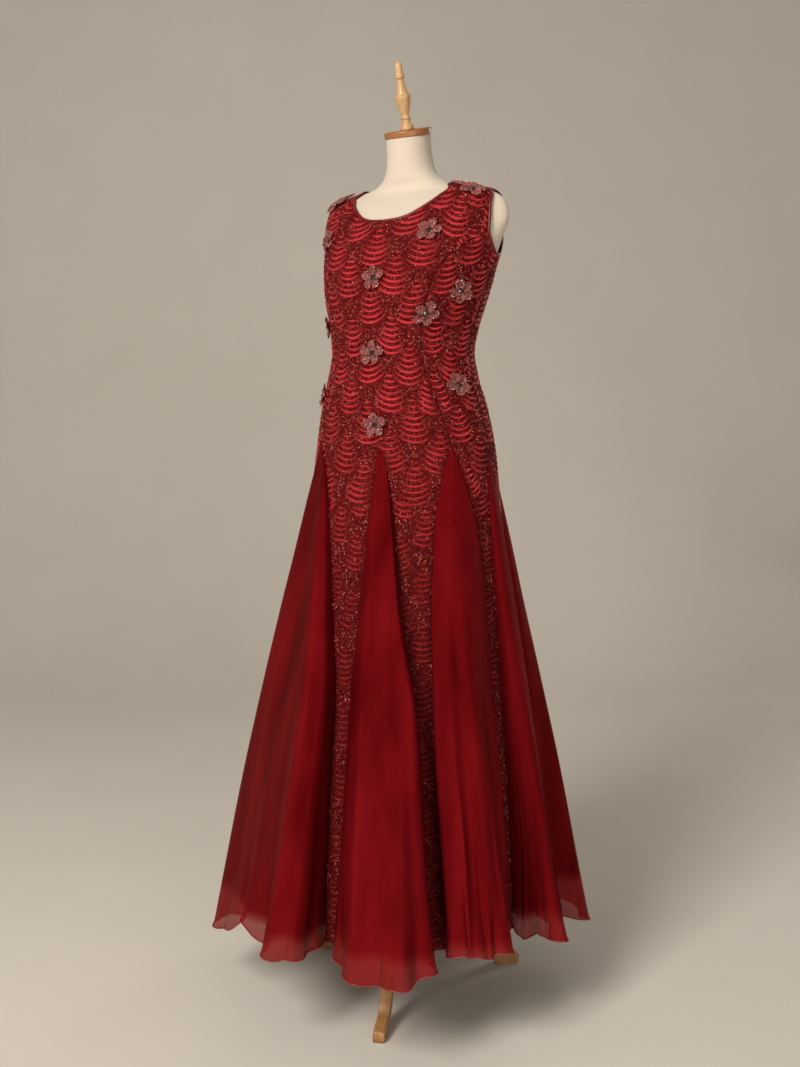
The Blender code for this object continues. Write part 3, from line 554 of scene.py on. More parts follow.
def closed_sheet(name, grids, surface):
    """A thin closed piece from grids of outer and inner points, welded where keys are the same."""
    outer, inner, faces, found = [], [], [], {}
    for grid, under, keys in grids:
        index = np.zeros(grid.shape[:2], int)
        for place in np.ndindex(index.shape):
            key = keys[place]
            index[place] = found.get(key, len(outer))
            if index[place] == len(outer):
                outer.append(grid[place])
                inner.append(under[place])
            if key is not None:
                found[key] = index[place]
        a, b, c, d = index[:-1, :-1], index[:-1, 1:], index[1:, 1:], index[1:, :-1]
        quads = np.stack((a, b, c, d), -1).reshape(-1, 4)
        first = np.cross(grid[0, 1] - grid[0, 0], grid[1, 0] - grid[0, 0])
        if np.dot(first, grid[0, 0] - under[0, 0]) < 0:
            quads = quads[:, ::-1]
        faces.extend(map(tuple, quads.tolist()))
    count = len(outer)
    edges = {(f[i], f[(i + 1) % 4]) for f in faces for i in range(4)}
    rim = [(b, a, count + a, count + b) for a, b in edges if (b, a) not in edges]
    under_faces = [tuple(count + i for i in f[::-1]) for f in faces]
    return make_mesh(name, np.concatenate((outer, inner)), faces + under_faces + sorted(rim), surface)


for name, node, blocks, cut in PANELS:
    grids = []
    for rows in blocks:
        angle, height = row_points(finer(rows))
        point, normal = gown_frame(angle, height)
        keys = np.empty(angle.shape, object)
        if name == "net_front":
            keys[:, 0] = list(zip(angle[:, 0].round(4), height[:, 0].round(6)))
        grids.append((point + normal * PANEL_WALL, point + normal * INSIDE_GAP, keys))
    piece = closed_sheet(name, grids, net)
    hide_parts(node)

# The embroidery: swags in rows like fish scales, each a nest of hanging satin cords couched on
# the net, with seed beads sewn between the cords and strewn over the rest. The swags are a little
# smaller down the legs, where they turn more to beads.
CORD_HALF_WIDTH = 0.0025
CORD_HEIGHT = 0.0024
SHORTEST_CORD = 4
BODICE_SCALE = {
    "width": 32.0, "spread": 0.98, "pitch": 0.054, "depth": 0.096, "sag": 0.046, "cords": 9,
    "high": 1.60, "rows": 11, "reach": 1.0, "points": 27}
LEG_SCALE = {
    "width": 26.0, "spread": 0.98, "pitch": 0.050, "depth": 0.088, "sag": 0.044, "cords": 9,
    "high": 1.030, "rows": 17, "reach": 0.8, "points": 21}
STREWN_SPACING = 0.0050
STRUNG_SPACING = 0.0034
BEAD_RADIUS = 0.00112
STRUNG_SEAT = 0.00055
STREWN_SEAT = 0.0004
# Metres in a degree round the bodice and round the skirt
BODICE_DEGREE = 0.0026
SKIRT_DEGREE = 0.0031
# Half-round section of a cord, in half widths and heights
SECTION = np.array(((-1.0, -0.25), (-0.55, 0.85), (0.55, 0.85), (1.0, -0.25)))
chance = np.random.default_rng(21)


def outlines(blocks):
    """Edges of a panel's blocks in angle and height, as pairs of corners."""
    found = []
    for rows in blocks:
        rows = finer(rows)
        top_angle, top_height = row_points(rows[-1:])
        top = np.stack((top_angle[0], top_height[0]), -1)
        line = np.concatenate((rows[:, 0:2], top[1:-1], rows[::-1, 2:4]))
        found.append((line, np.roll(line, -1, axis=0)))
    return found


def inside(edges, angle, height):
    """Whether points lie on a panel."""
    found = np.zeros(angle.shape, bool)
    x, y = angle[..., None], height[..., None]
    for one, two in edges:
        rise = two[:, 1] - one[:, 1]
        cross = one[:, 0] + (y - one[:, 1]) * (two[:, 0] - one[:, 0]) / np.where(rise == 0, 1.0, rise)
        found |= ((((one[:, 1] > y) != (two[:, 1] > y)) & (x < cross)).sum(-1) % 2).astype(bool)
    return found


def under_swags(plan, row, angle, height):
    """Whether points lie under the swags of a row."""
    place = angle / plan["width"] - 0.5 * (row % 2)
    off = 2 * (place - np.round(place)) / plan["spread"]
    fall = plan["high"] - row * plan["pitch"] - height
    lowest = plan["depth"] - plan["sag"] * (1 - np.sqrt(np.clip(1 - off**2, 0, 1)))
    return (np.abs(off) < 1) & (fall > 0) & (fall < lowest + 0.004)


def swags(plan, edges, low_angle, high_angle, above=None):
    """Cords of one panel and the lines of beads that carry on from them, as angles and heights."""
    cords, beads = [], []
    turn = np.linspace(-1.3, 1.3, plan["points"])
    for j in range(plan["rows"]):
        first = int(low_angle / plan["width"]) - 2
        for i in range(first, int(high_angle / plan["width"]) + 3):
            centre = (i + 0.5 * (j % 2) + chance.uniform(-0.045, 0.045)) * plan["width"]
            top = plan["high"] - j * plan["pitch"] + chance.uniform(-0.0035, 0.0035)
            skew = chance.uniform(-0.16, 0.16)
            for k in range(2 * plan["cords"]):
                share = (k / 2 + 1.0) / plan["cords"]
                half = 0.5 * plan["width"] * plan["spread"] * (0.5 + 0.5 * share)
                wobble = 1 + 0.022 * np.sin(turn * chance.uniform(5, 9) + chance.uniform(0, 6))
                sag = plan["sag"] * (0.5 + 0.5 * share) * wobble
                angle = centre + half * np.sin(turn) * wobble
                height = top - plan["depth"] * share + sag * (1 - np.cos(turn + skew))
                keep = inside(edges, angle, height)
                for row in range(max(0, j - 2), j):
                    keep &= ~under_swags(plan, row, angle, height)
                for row in range(above["rows"] - 2, above["rows"]) if above else ():
                    keep &= ~under_swags(above, row, angle, height)
                bare = np.abs(turn) < plan["reach"] * chance.uniform(0.8, 1.1)
                if k % 2 == 0:
                    cords.append((angle, height, keep & bare, share))
                    beads.append((angle, height, keep & ~bare, share))
                else:
                    beads.append((angle, height, keep & (np.abs(turn) > 0.5), share))
    return cords, beads


def scattered(edges, low, high, spacing):
    """Places strewn evenly over a panel, a spacing apart."""
    span = gown_rows[-1, 0] - HEM_HEIGHT
    count = int((high - low) * SKIRT_DEGREE * span / spacing**2)
    angle = chance.uniform(low, high, count)
    height = HEM_HEIGHT + chance.random(count) * span
    good = inside(edges, angle, height)
    return angle[good], height[good]


def open_grid(rows, columns, base):
    """Quads between rows of points that don't close round."""
    return [face for c, face in enumerate(grid_faces(rows, columns, base)) if c % columns < columns - 1]


def cord_tubes(cords):
    """Half-round cords laid on the net, tapered at their ends, with the painted light of each part: a
    highlight at a cord's middle, shade towards its ends.
    """
    points, faces, lights = [], [], []
    total = 0
    for angle, height, keep, share in cords:
        edges = np.flatnonzero(np.diff(np.concatenate(([0], keep.astype(int), [0]))))
        for begin, end in edges.reshape(-1, 2):
            n = end - begin
            if n < SHORTEST_CORD:
                continue
            base, normal = gown_frame(angle[begin:end], height[begin:end])
            base = base + normal * PANEL_WALL
            along = np.gradient(base, axis=0)
            along /= np.linalg.norm(along, axis=1, keepdims=True)
            side = np.cross(normal, along)
            taper = 0.16 + 0.84 * np.sin(np.pi * (np.arange(n) + 0.5) / n) ** 0.75
            taper = taper * (0.8 + 0.35 * share) * chance.uniform(0.85, 1.12)
            taper = taper[:, None, None]
            ring = base[:, None] + side[:, None] * (SECTION[None, :, :1] * CORD_HALF_WIDTH * taper)
            ring = ring + normal[:, None] * (SECTION[None, :, 1:] * CORD_HEIGHT * taper)
            points.append(ring.reshape(-1, 3))
            faces += open_grid(n, len(SECTION), total)
            total += len(SECTION) * n
            light = np.sin(np.pi * (np.arange(n) + 0.5) / n) ** 1.2 * chance.uniform(0.6, 1.0)
            lights.append(np.repeat(light, len(SECTION)))
    return np.concatenate(points), faces, np.concatenate(lights)


def bead_drops(beads, edges):
    """Places of the beads strung along the cords' ends and between them."""
    centres = []
    for angle, height, keep, _ in beads:
        length = np.concatenate(([0], np.cumsum(np.hypot(np.diff(angle) * BODICE_DEGREE, np.diff(height)))))
        stops = np.arange(chance.uniform(0, 0.002), length[-1], STRUNG_SPACING)
        where = np.interp(stops, length, np.arange(len(length)))
        good = keep[np.clip(np.round(where).astype(int), 0, len(keep) - 1)]
        where = where[good]
        if len(where) == 0:
            continue
        a = np.interp(where, np.arange(len(angle)), angle) + chance.normal(0, 0.15, len(where))
        h = np.interp(where, np.arange(len(height)), height) + chance.normal(0, 0.0005, len(where))
        good = inside(edges, a, h)
        point, normal = gown_frame(a[good], h[good])
        centres.append(point + normal * (PANEL_WALL + STRUNG_SEAT))
    return np.concatenate(centres)


DROP_CORNERS = 0.82 * np.array(((1, 1, 1), (1, -1, -1), (-1, 1, -1), (-1, -1, 1)))
DROP_SIDES = np.array(((0, 1, 2), (0, 3, 1), (0, 2, 3), (1, 3, 2)))


def drops(centres, size):
    """Points and faces of many small four-sided drops, turned at random."""
    n = len(centres)
    turns = chance.normal(size=(n, 3, 3))
    turns, _ = np.linalg.qr(turns)
    sizes = size * chance.uniform(0.7, 1.25, n)
    points = centres[:, None] + np.einsum("kj,nij->nki", DROP_CORNERS, turns) * sizes[:, None, None]
    faces = (DROP_SIDES[None] + 4 * np.arange(n)[:, None, None]).reshape(-1, 3)
    return points.reshape(-1, 3), faces


def tinted(piece, tints):
    """A value for each point of a piece, read by its material: painted light on the cords, tone on the
    beads.
    """
    layer = piece.data.attributes.new("tint", "FLOAT", "POINT")
    layer.data.foreach_set("value", tints.astype(np.float32))


def tint_of(start):
    """The value that a piece gives its points: painted light on the cords, tone on the beads."""
    return start.node("ShaderNodeAttribute", {"attribute_name": "tint"}, out=2)


cord, start = new_material("satin_cord")
strands = threads_of(start, "DIAGONAL", 190.0, 2.0, 1.0)
# Painted light on the cords: each cord is painted brightest at its middle as a highlight, and in painted
# shade towards its ends.
shine = tint_of(start) * 1.25 - 0.2 + noise(start, 60.0) * 0.2
cord_painted_sheen = shine.mix((0.11, 0.003, 0.006, 1), (0.62, 0.036, 0.048, 1))
# Painted shade: the cords are painted darker towards the bottom, below about 1.08 m, where the legs lie
# under the godets.
cord_painted_shade = shine.mix((0.035, 0.001, 0.002, 1), (0.24, 0.012, 0.016, 1))
cord_painted_light = ((height_of(start) - 0.75) * 3.0).mix(cord_painted_shade, cord_painted_sheen)
# Pale flecks on the cords are painted glints.
cord_glints = ((noise(start, 420.0, 2.0) - 0.58) * 9.0).clipped() * 0.6
coat(start, cord_glints.mix(cord_painted_light, (0.66, 0.12, 0.11, 1)), 0.3 + 0.2 * noise(start, 240.0),
     (strands + noise(start, 700.0), 0.0010, 0.7),
     {"Metallic": 0.25, "Specular IOR Level": 0.25, "Specular Tint": (1.0, 0.45, 0.45, 1.0)})
glass, start = new_material("seed_bead")
tint = tint_of(start)
red = tint.mix((0.04, 0.001, 0.002, 1), (0.32, 0.014, 0.018, 1))
pink = ((tint - 0.80) * 40.0).mix(red, (0.60, 0.15, 0.13, 1))
bronze = ((tint - 0.93) * 60.0).mix(pink, (0.14, 0.06, 0.035, 1))
coat(start, bronze, 0.22 + 0.2 * noise(start, 400.0),
     constants={"Specular IOR Level": 0.4, "Specular Tint": (1.0, 0.6, 0.55, 1.0)})

for name, node, blocks, cut in PANELS:
    angles = np.concatenate([np.array(rows)[:, (0, 2)].ravel() for rows in blocks])
    low, high = angles.min(), angles.max()
    edges = outlines(blocks)
    bodice_cords, bodice_beads = swags(BODICE_SCALE, edges, low, high)
    leg_cords, leg_beads = swags(LEG_SCALE, edges, low, high, BODICE_SCALE)
    points, faces, lights = cord_tubes(bodice_cords + leg_cords)
    piece = make_mesh(name.replace("net", "cords"), points, faces, cord)
    tinted(piece, lights)
    centres = bead_drops(bodice_beads + leg_beads, edges)
    angle, height = scattered(edges, low, high, STREWN_SPACING)
    point, normal = gown_frame(angle, height)
    centres = np.concatenate((centres, point + normal * (PANEL_WALL + STREWN_SEAT)))
    points, faces = drops(centres, BEAD_RADIUS)
    piece = make_mesh(name.replace("net", "beads"), points, faces, glass, False)
    tinted(piece, np.repeat(chance.random(len(centres)), 4))

# The godets: eight flared gores of red organza over satin, set into the seams from the hips
# down, falling in soft folds. The satin stops short of the hem, so the lowest part is sheer. Each
# hem is rolled and sewn by hand.
GODET_WALL = 0.0009
# Angle, radius and height of points along each hem, between its seams
GODET_HEMS = {
    1: ((-62, 0.318, 0.150), (-55, 0.361, 0.152), (-43, 0.337, 0.172), (-31.5, 0.316, 0.218),
        (-20, 0.330, 0.206), (-10, 0.352, 0.203), (-3, 0.344, 0.205), (-1, 0.301, 0.205)),
    2: ((7.5, 0.287, 0.201), (14, 0.332, 0.198), (21.5, 0.357, 0.197), (28, 0.366, 0.196),
        (35, 0.356, 0.203), (39.5, 0.322, 0.210)),
    3: ((48.5, 0.299, 0.218), (52, 0.336, 0.224), (58, 0.342, 0.223), (64, 0.325, 0.219),
        (70, 0.288, 0.214)),
    4: ((84.5, 0.285, 0.198), (89.5, 0.318, 0.190), (94.5, 0.320, 0.184), (100.5, 0.288, 0.182)),
    5: ((119, 0.303, 0.165), (126, 0.346, 0.148), (132, 0.361, 0.138), (140, 0.344, 0.142),
        (147, 0.302, 0.156)),
    6: ((164, 0.312, 0.160), (171, 0.352, 0.155), (179, 0.338, 0.162), (187, 0.354, 0.154),
        (195, 0.316, 0.160)),
    7: ((-145, 0.310, 0.160), (-137, 0.352, 0.155), (-129, 0.344, 0.160), (-120, 0.306, 0.164)),
    8: ((-101, 0.300, 0.162), (-94, 0.328, 0.156), (-86, 0.325, 0.158), (-79, 0.294, 0.162)),
}
# Soft folds: place across the godet, half width, ridge at the hem, share of the way down at
# which it begins
FOLDS = {
    1: ((0.14, 0.05, 0.010, 0.3), (0.30, 0.06, -0.008, 0.4), (0.44, 0.05, 0.012, 0.55),
        (0.58, 0.05, -0.010, 0.5), (0.70, 0.04, 0.008, 0.4), (0.86, 0.04, 0.006, 0.2)),
    2: ((0.20, 0.06, -0.007, 0.35), (0.34, 0.05, 0.007, 0.45), (0.52, 0.08, -0.006, 0.3),
        (0.66, 0.05, 0.008, 0.5), (0.80, 0.05, 0.009, 0.05), (0.92, 0.016, 0.008, 0.02),
        (0.10, 0.014, 0.005, 0.05)),
    3: ((0.16, 0.05, 0.009, 0.0), (0.24, 0.06, 0.006, 0.3), (0.40, 0.05, -0.008, 0.25),
        (0.55, 0.06, 0.008, 0.4), (0.70, 0.05, -0.010, 0.45), (0.82, 0.05, 0.010, 0.5),
        (0.33, 0.022, 0.011, 0.62), (0.47, 0.020, -0.010, 0.70), (0.62, 0.022, 0.012, 0.55),
        (0.76, 0.020, -0.008, 0.66)),
    4: ((0.25, 0.07, -0.010, 0.4), (0.45, 0.06, 0.012, 0.45), (0.62, 0.06, -0.012, 0.5),
        (0.78, 0.05, 0.010, 0.5), (0.18, 0.022, 0.010, 0.62), (0.34, 0.022, -0.009, 0.70),
        (0.54, 0.022, 0.010, 0.6)),
    5: ((0.2, 0.06, -0.010, 0.4), (0.34, 0.06, 0.010, 0.4), (0.5, 0.06, -0.010, 0.5),
        (0.68, 0.06, 0.012, 0.4)),
    6: ((0.22, 0.06, 0.008, 0.4), (0.38, 0.06, -0.010, 0.4), (0.62, 0.06, 0.009, 0.4),
        (0.8, 0.06, -0.008, 0.5)),
    7: ((0.2, 0.06, 0.009, 0.4), (0.36, 0.06, -0.010, 0.4), (0.55, 0.06, 0.010, 0.5),
        (0.74, 0.06, -0.009, 0.4)),
    8: ((0.24, 0.06, -0.009, 0.4), (0.4, 0.06, 0.010, 0.4), (0.58, 0.06, -0.008, 0.5),
        (0.76, 0.06, 0.009, 0.4)),
}
# Cut width, length and area
GODET_CUTS = {
    1: (0.62, 0.96, 0.280), 2: (0.44, 0.97, 0.180), 3: (0.36, 0.94, 0.160), 4: (0.30, 0.92, 0.115),
    5: (0.40, 0.94, 0.170), 6: (0.42, 0.93, 0.185), 7: (0.40, 0.94, 0.158), 8: (0.36, 0.92, 0.135),
}
SEAM_LAP = 0.10
FRILL_SIZE = 0.0095
FRILL_LENGTH = 0.095
HEM_FLICK = 0.016
FLICK_SIZE = 0.004
FRILL_RISE = 0.0035
GODET_ROWS = 92
HEM_ROWS = 26
TOP_SHARE = 0.006
HEM_SHARE = 0.9
EDGE_SHARE = 0.08
GODET_COLUMNS = 72
FRILL_REACH = 0.15
# Godets whose hems are fuller, and how much
FULLER_FRILLS = {3: 1.7, 4: 1.9, 5: 1.25}


def godet_grid(number):
    """Outer points of a godet from just under its point to its hem."""
    top, left, right = SEAMS[number]
    seam_ends = [(seam_line[-1], HEM_RADIUS, HEM_HEIGHT) for seam_line in (left, right)]
    hem = np.array((seam_ends[0], *GODET_HEMS[number], seam_ends[1]), float)
    share = np.linspace(0, 1, GODET_COLUMNS + 1)
    upper = np.linspace(TOP_SHARE, HEM_SHARE, GODET_ROWS - HEM_ROWS)
    steps = np.concatenate((upper, np.linspace(HEM_SHARE, 1.0, HEM_ROWS + 1)[1:]))[:, None]
    hem_angle, radius, hem_height = curve(np.linspace(0, 1, len(hem)), hem, share).T
    left = curve(SEAM_STEPS, left, steps) - SEAM_LAP
    right = curve(SEAM_STEPS, right, steps) + SEAM_LAP
    angle = left + (hem_angle - hem[0, 0]) / (hem[-1, 0] - hem[0, 0]) * (right - left)
    height = top + (hem_height - top) * steps
    point, normal = gown_frame(angle, height)
    point = point + normal * PANEL_WALL
    turn = np.radians(angle)
    outward = np.stack((np.sin(turn), -np.cos(turn), np.zeros_like(turn)), -1)
    point = point + outward * ((radius - HEM_RADIUS) * steps)[..., None]
    face = np.cross(np.gradient(point, axis=1), np.gradient(point, axis=0))
    face /= np.linalg.norm(face, axis=-1, keepdims=True)
    middle = face[GODET_ROWS // 2, GODET_COLUMNS // 2]
    if np.dot(middle, outward[GODET_ROWS // 2, GODET_COLUMNS // 2]) < 0:
        face = -face
    edge = np.clip(np.minimum(share, 1 - share) / EDGE_SHARE, 0, 1)
    lift = np.zeros_like(height)
    for where, spread, ridge, begin in FOLDS[number]:
        grown = np.clip((steps - begin) / (1 - begin), 0, 1) ** 0.9
        drift = 0.02 * np.sin((3.0 if spread > 0.03 else 11.0) * steps + number + where * 9)
        lift += ridge * grown * np.exp(-(((share - where - drift) / spread) ** 2))
    lift *= edge
    point = point + face * lift[..., None]
    depth = np.clip((height - hem_height) / FRILL_REACH, 0, 1)
    near = (1 - depth) ** 1.7
    frill = np.random.default_rng(100 + number)
    run = np.concatenate(([0], np.cumsum(np.linalg.norm(np.diff(point[-1], axis=0), axis=1))))
    waves = run[-1] / FRILL_LENGTH
    beats = np.cumsum(np.concatenate(([0], frill.uniform(0.6, 1.5, 8))))
    phase = np.interp(share, np.linspace(0, 1, 9), beats / beats[-1]) * 2 * math.pi * waves
    size = np.interp(share, np.linspace(0, 1, 7), frill.uniform(0.35, 1.0, 7))
    wave = (np.sin(phase) + 0.35 * np.sin(2 * phase + 1.1)) * size * edge
    flick = np.clip(1 - (height - hem_height) / HEM_FLICK, 0, 1) ** 2
    ruffle = FRILL_SIZE * FULLER_FRILLS.get(number, 1.0) * wave * near
    point = point + face * (ruffle + FLICK_SIZE * flick * edge * (size - 0.2))[..., None]
    point[..., 2] += FRILL_RISE * np.cos(phase) * size * near**2 * edge
    return point, face


SATIN_END = 0.192
HEM_ROLL = 0.0013
HEM_SIDES = 7
organza, start = new_material("organza_over_satin")
stretched = start.node("ShaderNodeMapping", None, {"Vector": place_of(start), "Scale": (6.0, 6.0, 0.7)})
streaks = noise(start, 3.2, 3.0, stretched)
weft = threads_of(start, "Z", 520.0, 1.2, 2.0)
# Painted sheen: long soft streaks lighten the red of the organza.
sheen_streaked_red = (streaks * 1.5 - 0.25).mix((0.075, 0.0008, 0.0016, 1), (0.25, 0.007, 0.012, 1))
sheer = ((SATIN_END - height_of(start) + streaks * 0.03) * 45.0).clipped()
start.feed(start.inputs["Alpha"], 1.0 - sheer * 0.36)
ripples = weft * 0.3 + noise(start, 40.0, 3.0, stretched) + streaks * 2.0
coat(start, sheer.mix(sheen_streaked_red, (0.31, 0.016, 0.018, 1)), 0.34 + 0.14 * streaks, (ripples, 0.0020, 0.5),
     {"Metallic": 0.4, "Specular IOR Level": 0.06, "Specular Tint": (1.0, 0.10, 0.12, 1.0)})
rolled, start = new_material("rolled_hem")
coat(start, noise(start, 220.0).mix((0.16, 0.002, 0.005, 1), (0.34, 0.012, 0.02, 1)),
     0.28 + 0.2 * noise(start, 90.0))


def tube(centres, along, radii, sides, aside):
    """Points and faces of a round piece about a line of centres, closed at its ends."""
    side = np.cross(along, aside)
    side /= np.linalg.norm(side, axis=1, keepdims=True)
    other = np.cross(along, side)
    turn = np.arange(sides)[:, None] * 2 * math.pi / sides
    around = side[:, None] * np.cos(turn) + other[:, None] * np.sin(turn)
    points = centres[:, None] + around * np.reshape(radii, (-1, 1, 1))
    return points.reshape(-1, 3), capped(len(centres), sides)


for number, cut in GODET_CUTS.items():
    grid, face = godet_grid(number)
    unwelded = np.full(grid.shape[:2], None)
    piece = closed_sheet(f"godet_cloth_{number}", [(grid, grid - face * GODET_WALL, unwelded)], organza)
    edge = grid[-1] - face[-1] * GODET_WALL / 2
    along = np.gradient(edge, axis=0)
    along /= np.linalg.norm(along, axis=1, keepdims=True)
    points, faces = tube(edge, along, HEM_ROLL, HEM_SIDES, (0.0, 0.0, 1.0))
    hem = make_mesh(f"rolled_hem_{number}", points, faces, rolled)
    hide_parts(f"godet_{number}")

# The bindings: narrow bias strips of dark red satin folded over the neck and armhole edges, sewn
# down on both sides, so each is a soft flattened roll.
satin, start = new_material("binding_satin")
coat(start, noise(start, 70.0).mix((0.09, 0.002, 0.004, 1), (0.20, 0.006, 0.010, 1)),
     0.3 + 0.2 * noise(start, 200.0), (noise(start, 210.0), 0.0012, 0.6))
BINDING_WIDTH = 0.0042
BINDING_HEIGHT = 0.0011
NECK_PARTS = 90
ARM_PARTS = 200
# Section of the roll, in widths from the cut edge and heights off the net
BINDING_ROLL = ((-0.25, 0.2), (-0.2, 0.9), (0.15, 1.5), (0.6, 1.55), (0.95, 1.0), (1.02, 0.25), (0.5, 0.15))


def path_points(path, parts):
    """More points on an open path of angles and heights."""
    return curve(np.arange(len(path)), np.array(path, float), np.linspace(0, len(path) - 1, parts + 1))


def binding(name, path, node):
    """A flattened roll along a closed edge of angles and heights, on the cloth's side of it."""
    centres, normals = gown_frame(path[:, 0], path[:, 1])
    centres = centres + normals * PANEL_WALL
    along = np.roll(centres, -1, axis=0) - np.roll(centres, 1, axis=0)
    inward = np.cross(normals, along)
    inward /= np.linalg.norm(inward, axis=1, keepdims=True)
    roll = np.array(BINDING_ROLL)
    points = centres[:, None] + inward[:, None] * roll[None, :, :1] * BINDING_WIDTH
    points = points + normals[:, None] * (INSIDE_GAP + roll[None, :, 1:] * BINDING_HEIGHT)
    points = points.reshape(-1, 3)
    faces = [tuple(i % len(points) for i in face) for face in grid_faces(len(path) + 1, len(roll))]
    piece = make_mesh(name, points, faces, satin)
    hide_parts(node)


neck_front = [(0.0, FRONT_ROWS[-1][1])] + [row[:2] for row in FRONT_STRAP]
neck_back = [row[:2] for row in reversed(BACK_STRAP)] + [(180.0, BACK_ROWS[-1][0])]
neck_half = np.concatenate((path_points(neck_front, NECK_PARTS)[:-1], path_points(neck_back, NECK_PARTS)))
neck_path = np.concatenate((neck_half, neck_half[-2:0:-1] * (-1, 1)))
binding("neck_roll", neck_path[::-1], "neck_binding")
arm_top = [row[2:] for row in reversed(FRONT_STRAP)] + [(FRONT_ROWS[-1][2], FRONT_ROWS[-1][4])]
arm_end = [(BACK_ROWS[-1][1], FRONT_ROWS[-1][4])] + [row[2:] for row in BACK_STRAP]
side_point = (FRONT_ROWS[-1][5], SIDE_TOP)


def sagging(first, last):
    """Points of the armhole's lower curve between two seams."""
    f = np.array((0.25, 0.5, 0.75))[:, None]
    line = np.array(first) + (np.array(last) - np.array(first)) * f
    line[:, 1] -= ARMHOLE_SAG * 4 * f[:, 0] * (1 - f[:, 0])
    return [tuple(p) for p in line]


arm_front = arm_top + sagging(arm_top[-1], side_point)
arm_path = path_points(arm_front + [side_point] + sagging(side_point, arm_end[0]) + arm_end, ARM_PARTS)[:-1]
binding("arm_roll_left", arm_path, "armhole_binding_left")
binding("arm_roll_right", arm_path[::-1] * (-1, 1), "armhole_binding_right")

# The flowers: twelve of stiff dusty pink net, each with five cupped petals edged with beads and
# strewn with seed beads, sewn on at the middle under a dark faceted stone.
# Columns: angle, height, turn of the petals, seat above or below the smooth surface
FLOWERS = (
    (-60.0, 1.532, 10.0, -0.0004), (-48.0, 1.456, 40.0, -0.0013), (32.0, 1.456, 5.0, -0.0013),
    (60.0, 1.536, 60.0, 0.0002), (2.0, 1.372, 20.0, -0.0009), (63.0, 1.348, 50.0, -0.0014),
    (40.0, 1.306, 0.0, 0.0001), (-60.0, 1.291, 30.0, -0.0003), (2.0, 1.235, 15.0, -0.0002),
    (69.0, 1.175, 45.0, -0.0010), (-62.0, 1.156, 5.0, -0.0008), (6.0, 1.103, 25.0, -0.0003),
)
FLOWER_RADIUS = 0.0245
STONE_RADIUS = 0.0052
STONE_SIDES = 12
# Share of the radius and height above the net
STONE_RINGS = ((1.0, 0.0031), (1.0, 0.0043), (0.78, 0.0056), (0.5, 0.0064))
PETAL_RINGS = 9
PETAL_SIDES = 90
PETAL_WALL = 0.0006
EDGE_BEADS = 150
STREWN_BEADS = 330
PETAL_BEAD_SIZE = 0.00088
petal_net, start = new_material("petal_net")
mesh_gaps = cells(start, "DISTANCE_TO_EDGE", 900.0)
speckle = noise(start, 620.0, 1.0)
coat(start, (speckle * 4.2 - 1.6).mix((0.09, 0.006, 0.010, 1), (0.50, 0.15, 0.14, 1)),
     0.45 + 0.3 * noise(start, 300.0), (mesh_gaps + speckle, 0.0010, 0.9))
pearl, start = new_material("petal_bead")
tint = tint_of(start)
pale = tint.mix((0.16, 0.015, 0.02, 1), (0.75, 0.32, 0.28, 1))
coat(start, ((tint - 0.80) * 50.0).mix(pale, (0.08, 0.006, 0.010, 1)),
     0.14 + 0.2 * noise(start, 500.0), constants={"Coat Weight": 0.5})
jet, start = new_material("jet_stone")
coat(start, noise(start, 400.0).mix((0.012, 0.004, 0.004, 1), (0.04, 0.012, 0.008, 1)),
     0.04 + 0.06 * noise(start, 90.0), constants={"Coat Weight": 1.0})


def laid(angle, height, reach, bearing, out):
    """Points a distance from a flower's middle along the net, and a height above the net."""
    middle = gown_frame(np.array(angle), np.array(height))[0]
    scale = 1.0 / np.linalg.norm(gown_frame(np.array(angle + 1.0), np.array(height))[0] - middle)
    up = 0.001 / np.linalg.norm(gown_frame(np.array(angle), np.array(height + 0.001))[0] - middle)
    a = angle + reach * np.cos(bearing) * scale
    h = np.minimum(height + reach * np.sin(bearing) * up, gown_rows[-1, 0])
    point, normal = gown_frame(a, h)
    return point + normal * (PANEL_WALL + out)[..., None]


def petal_place(bearing, turn):
    """Which petal a bearing falls on, and how far from its middle, from 0 to 1."""
    place = (bearing - turn) * 5 / (2 * math.pi)
    return np.round(place), np.abs(place - np.round(place)) * 2


def petal_reach(bearing, turn):
    """How far the petals reach at a bearing, as a share of the flower's radius."""
    petal, off = petal_place(bearing, turn)
    longer = 0.94 + 0.06 * np.sin(petal * 2.4 + turn * 5)
    ragged = 0.03 * np.sin(bearing * 23 + turn * 9) + 0.02 * np.sin(bearing * 41 + turn)
    return (0.32 + 0.66 * np.clip(1 - off**2.2, 0, 1) ** 0.6) * longer * (1 + ragged)


def petal_lift(share, bearing, turn, lean):
    """How high the petals stand at a share of their reach: cupped, creased along the middle."""
    petal, off = petal_place(bearing, turn)
    lift = 0.0012 + 0.0046 * share**1.7 + lean[petal.astype(int) % 5] * share**2
    return lift + 0.0016 * share * off**2 - 0.0008 * np.exp(-((off / 0.12) ** 2)) * share


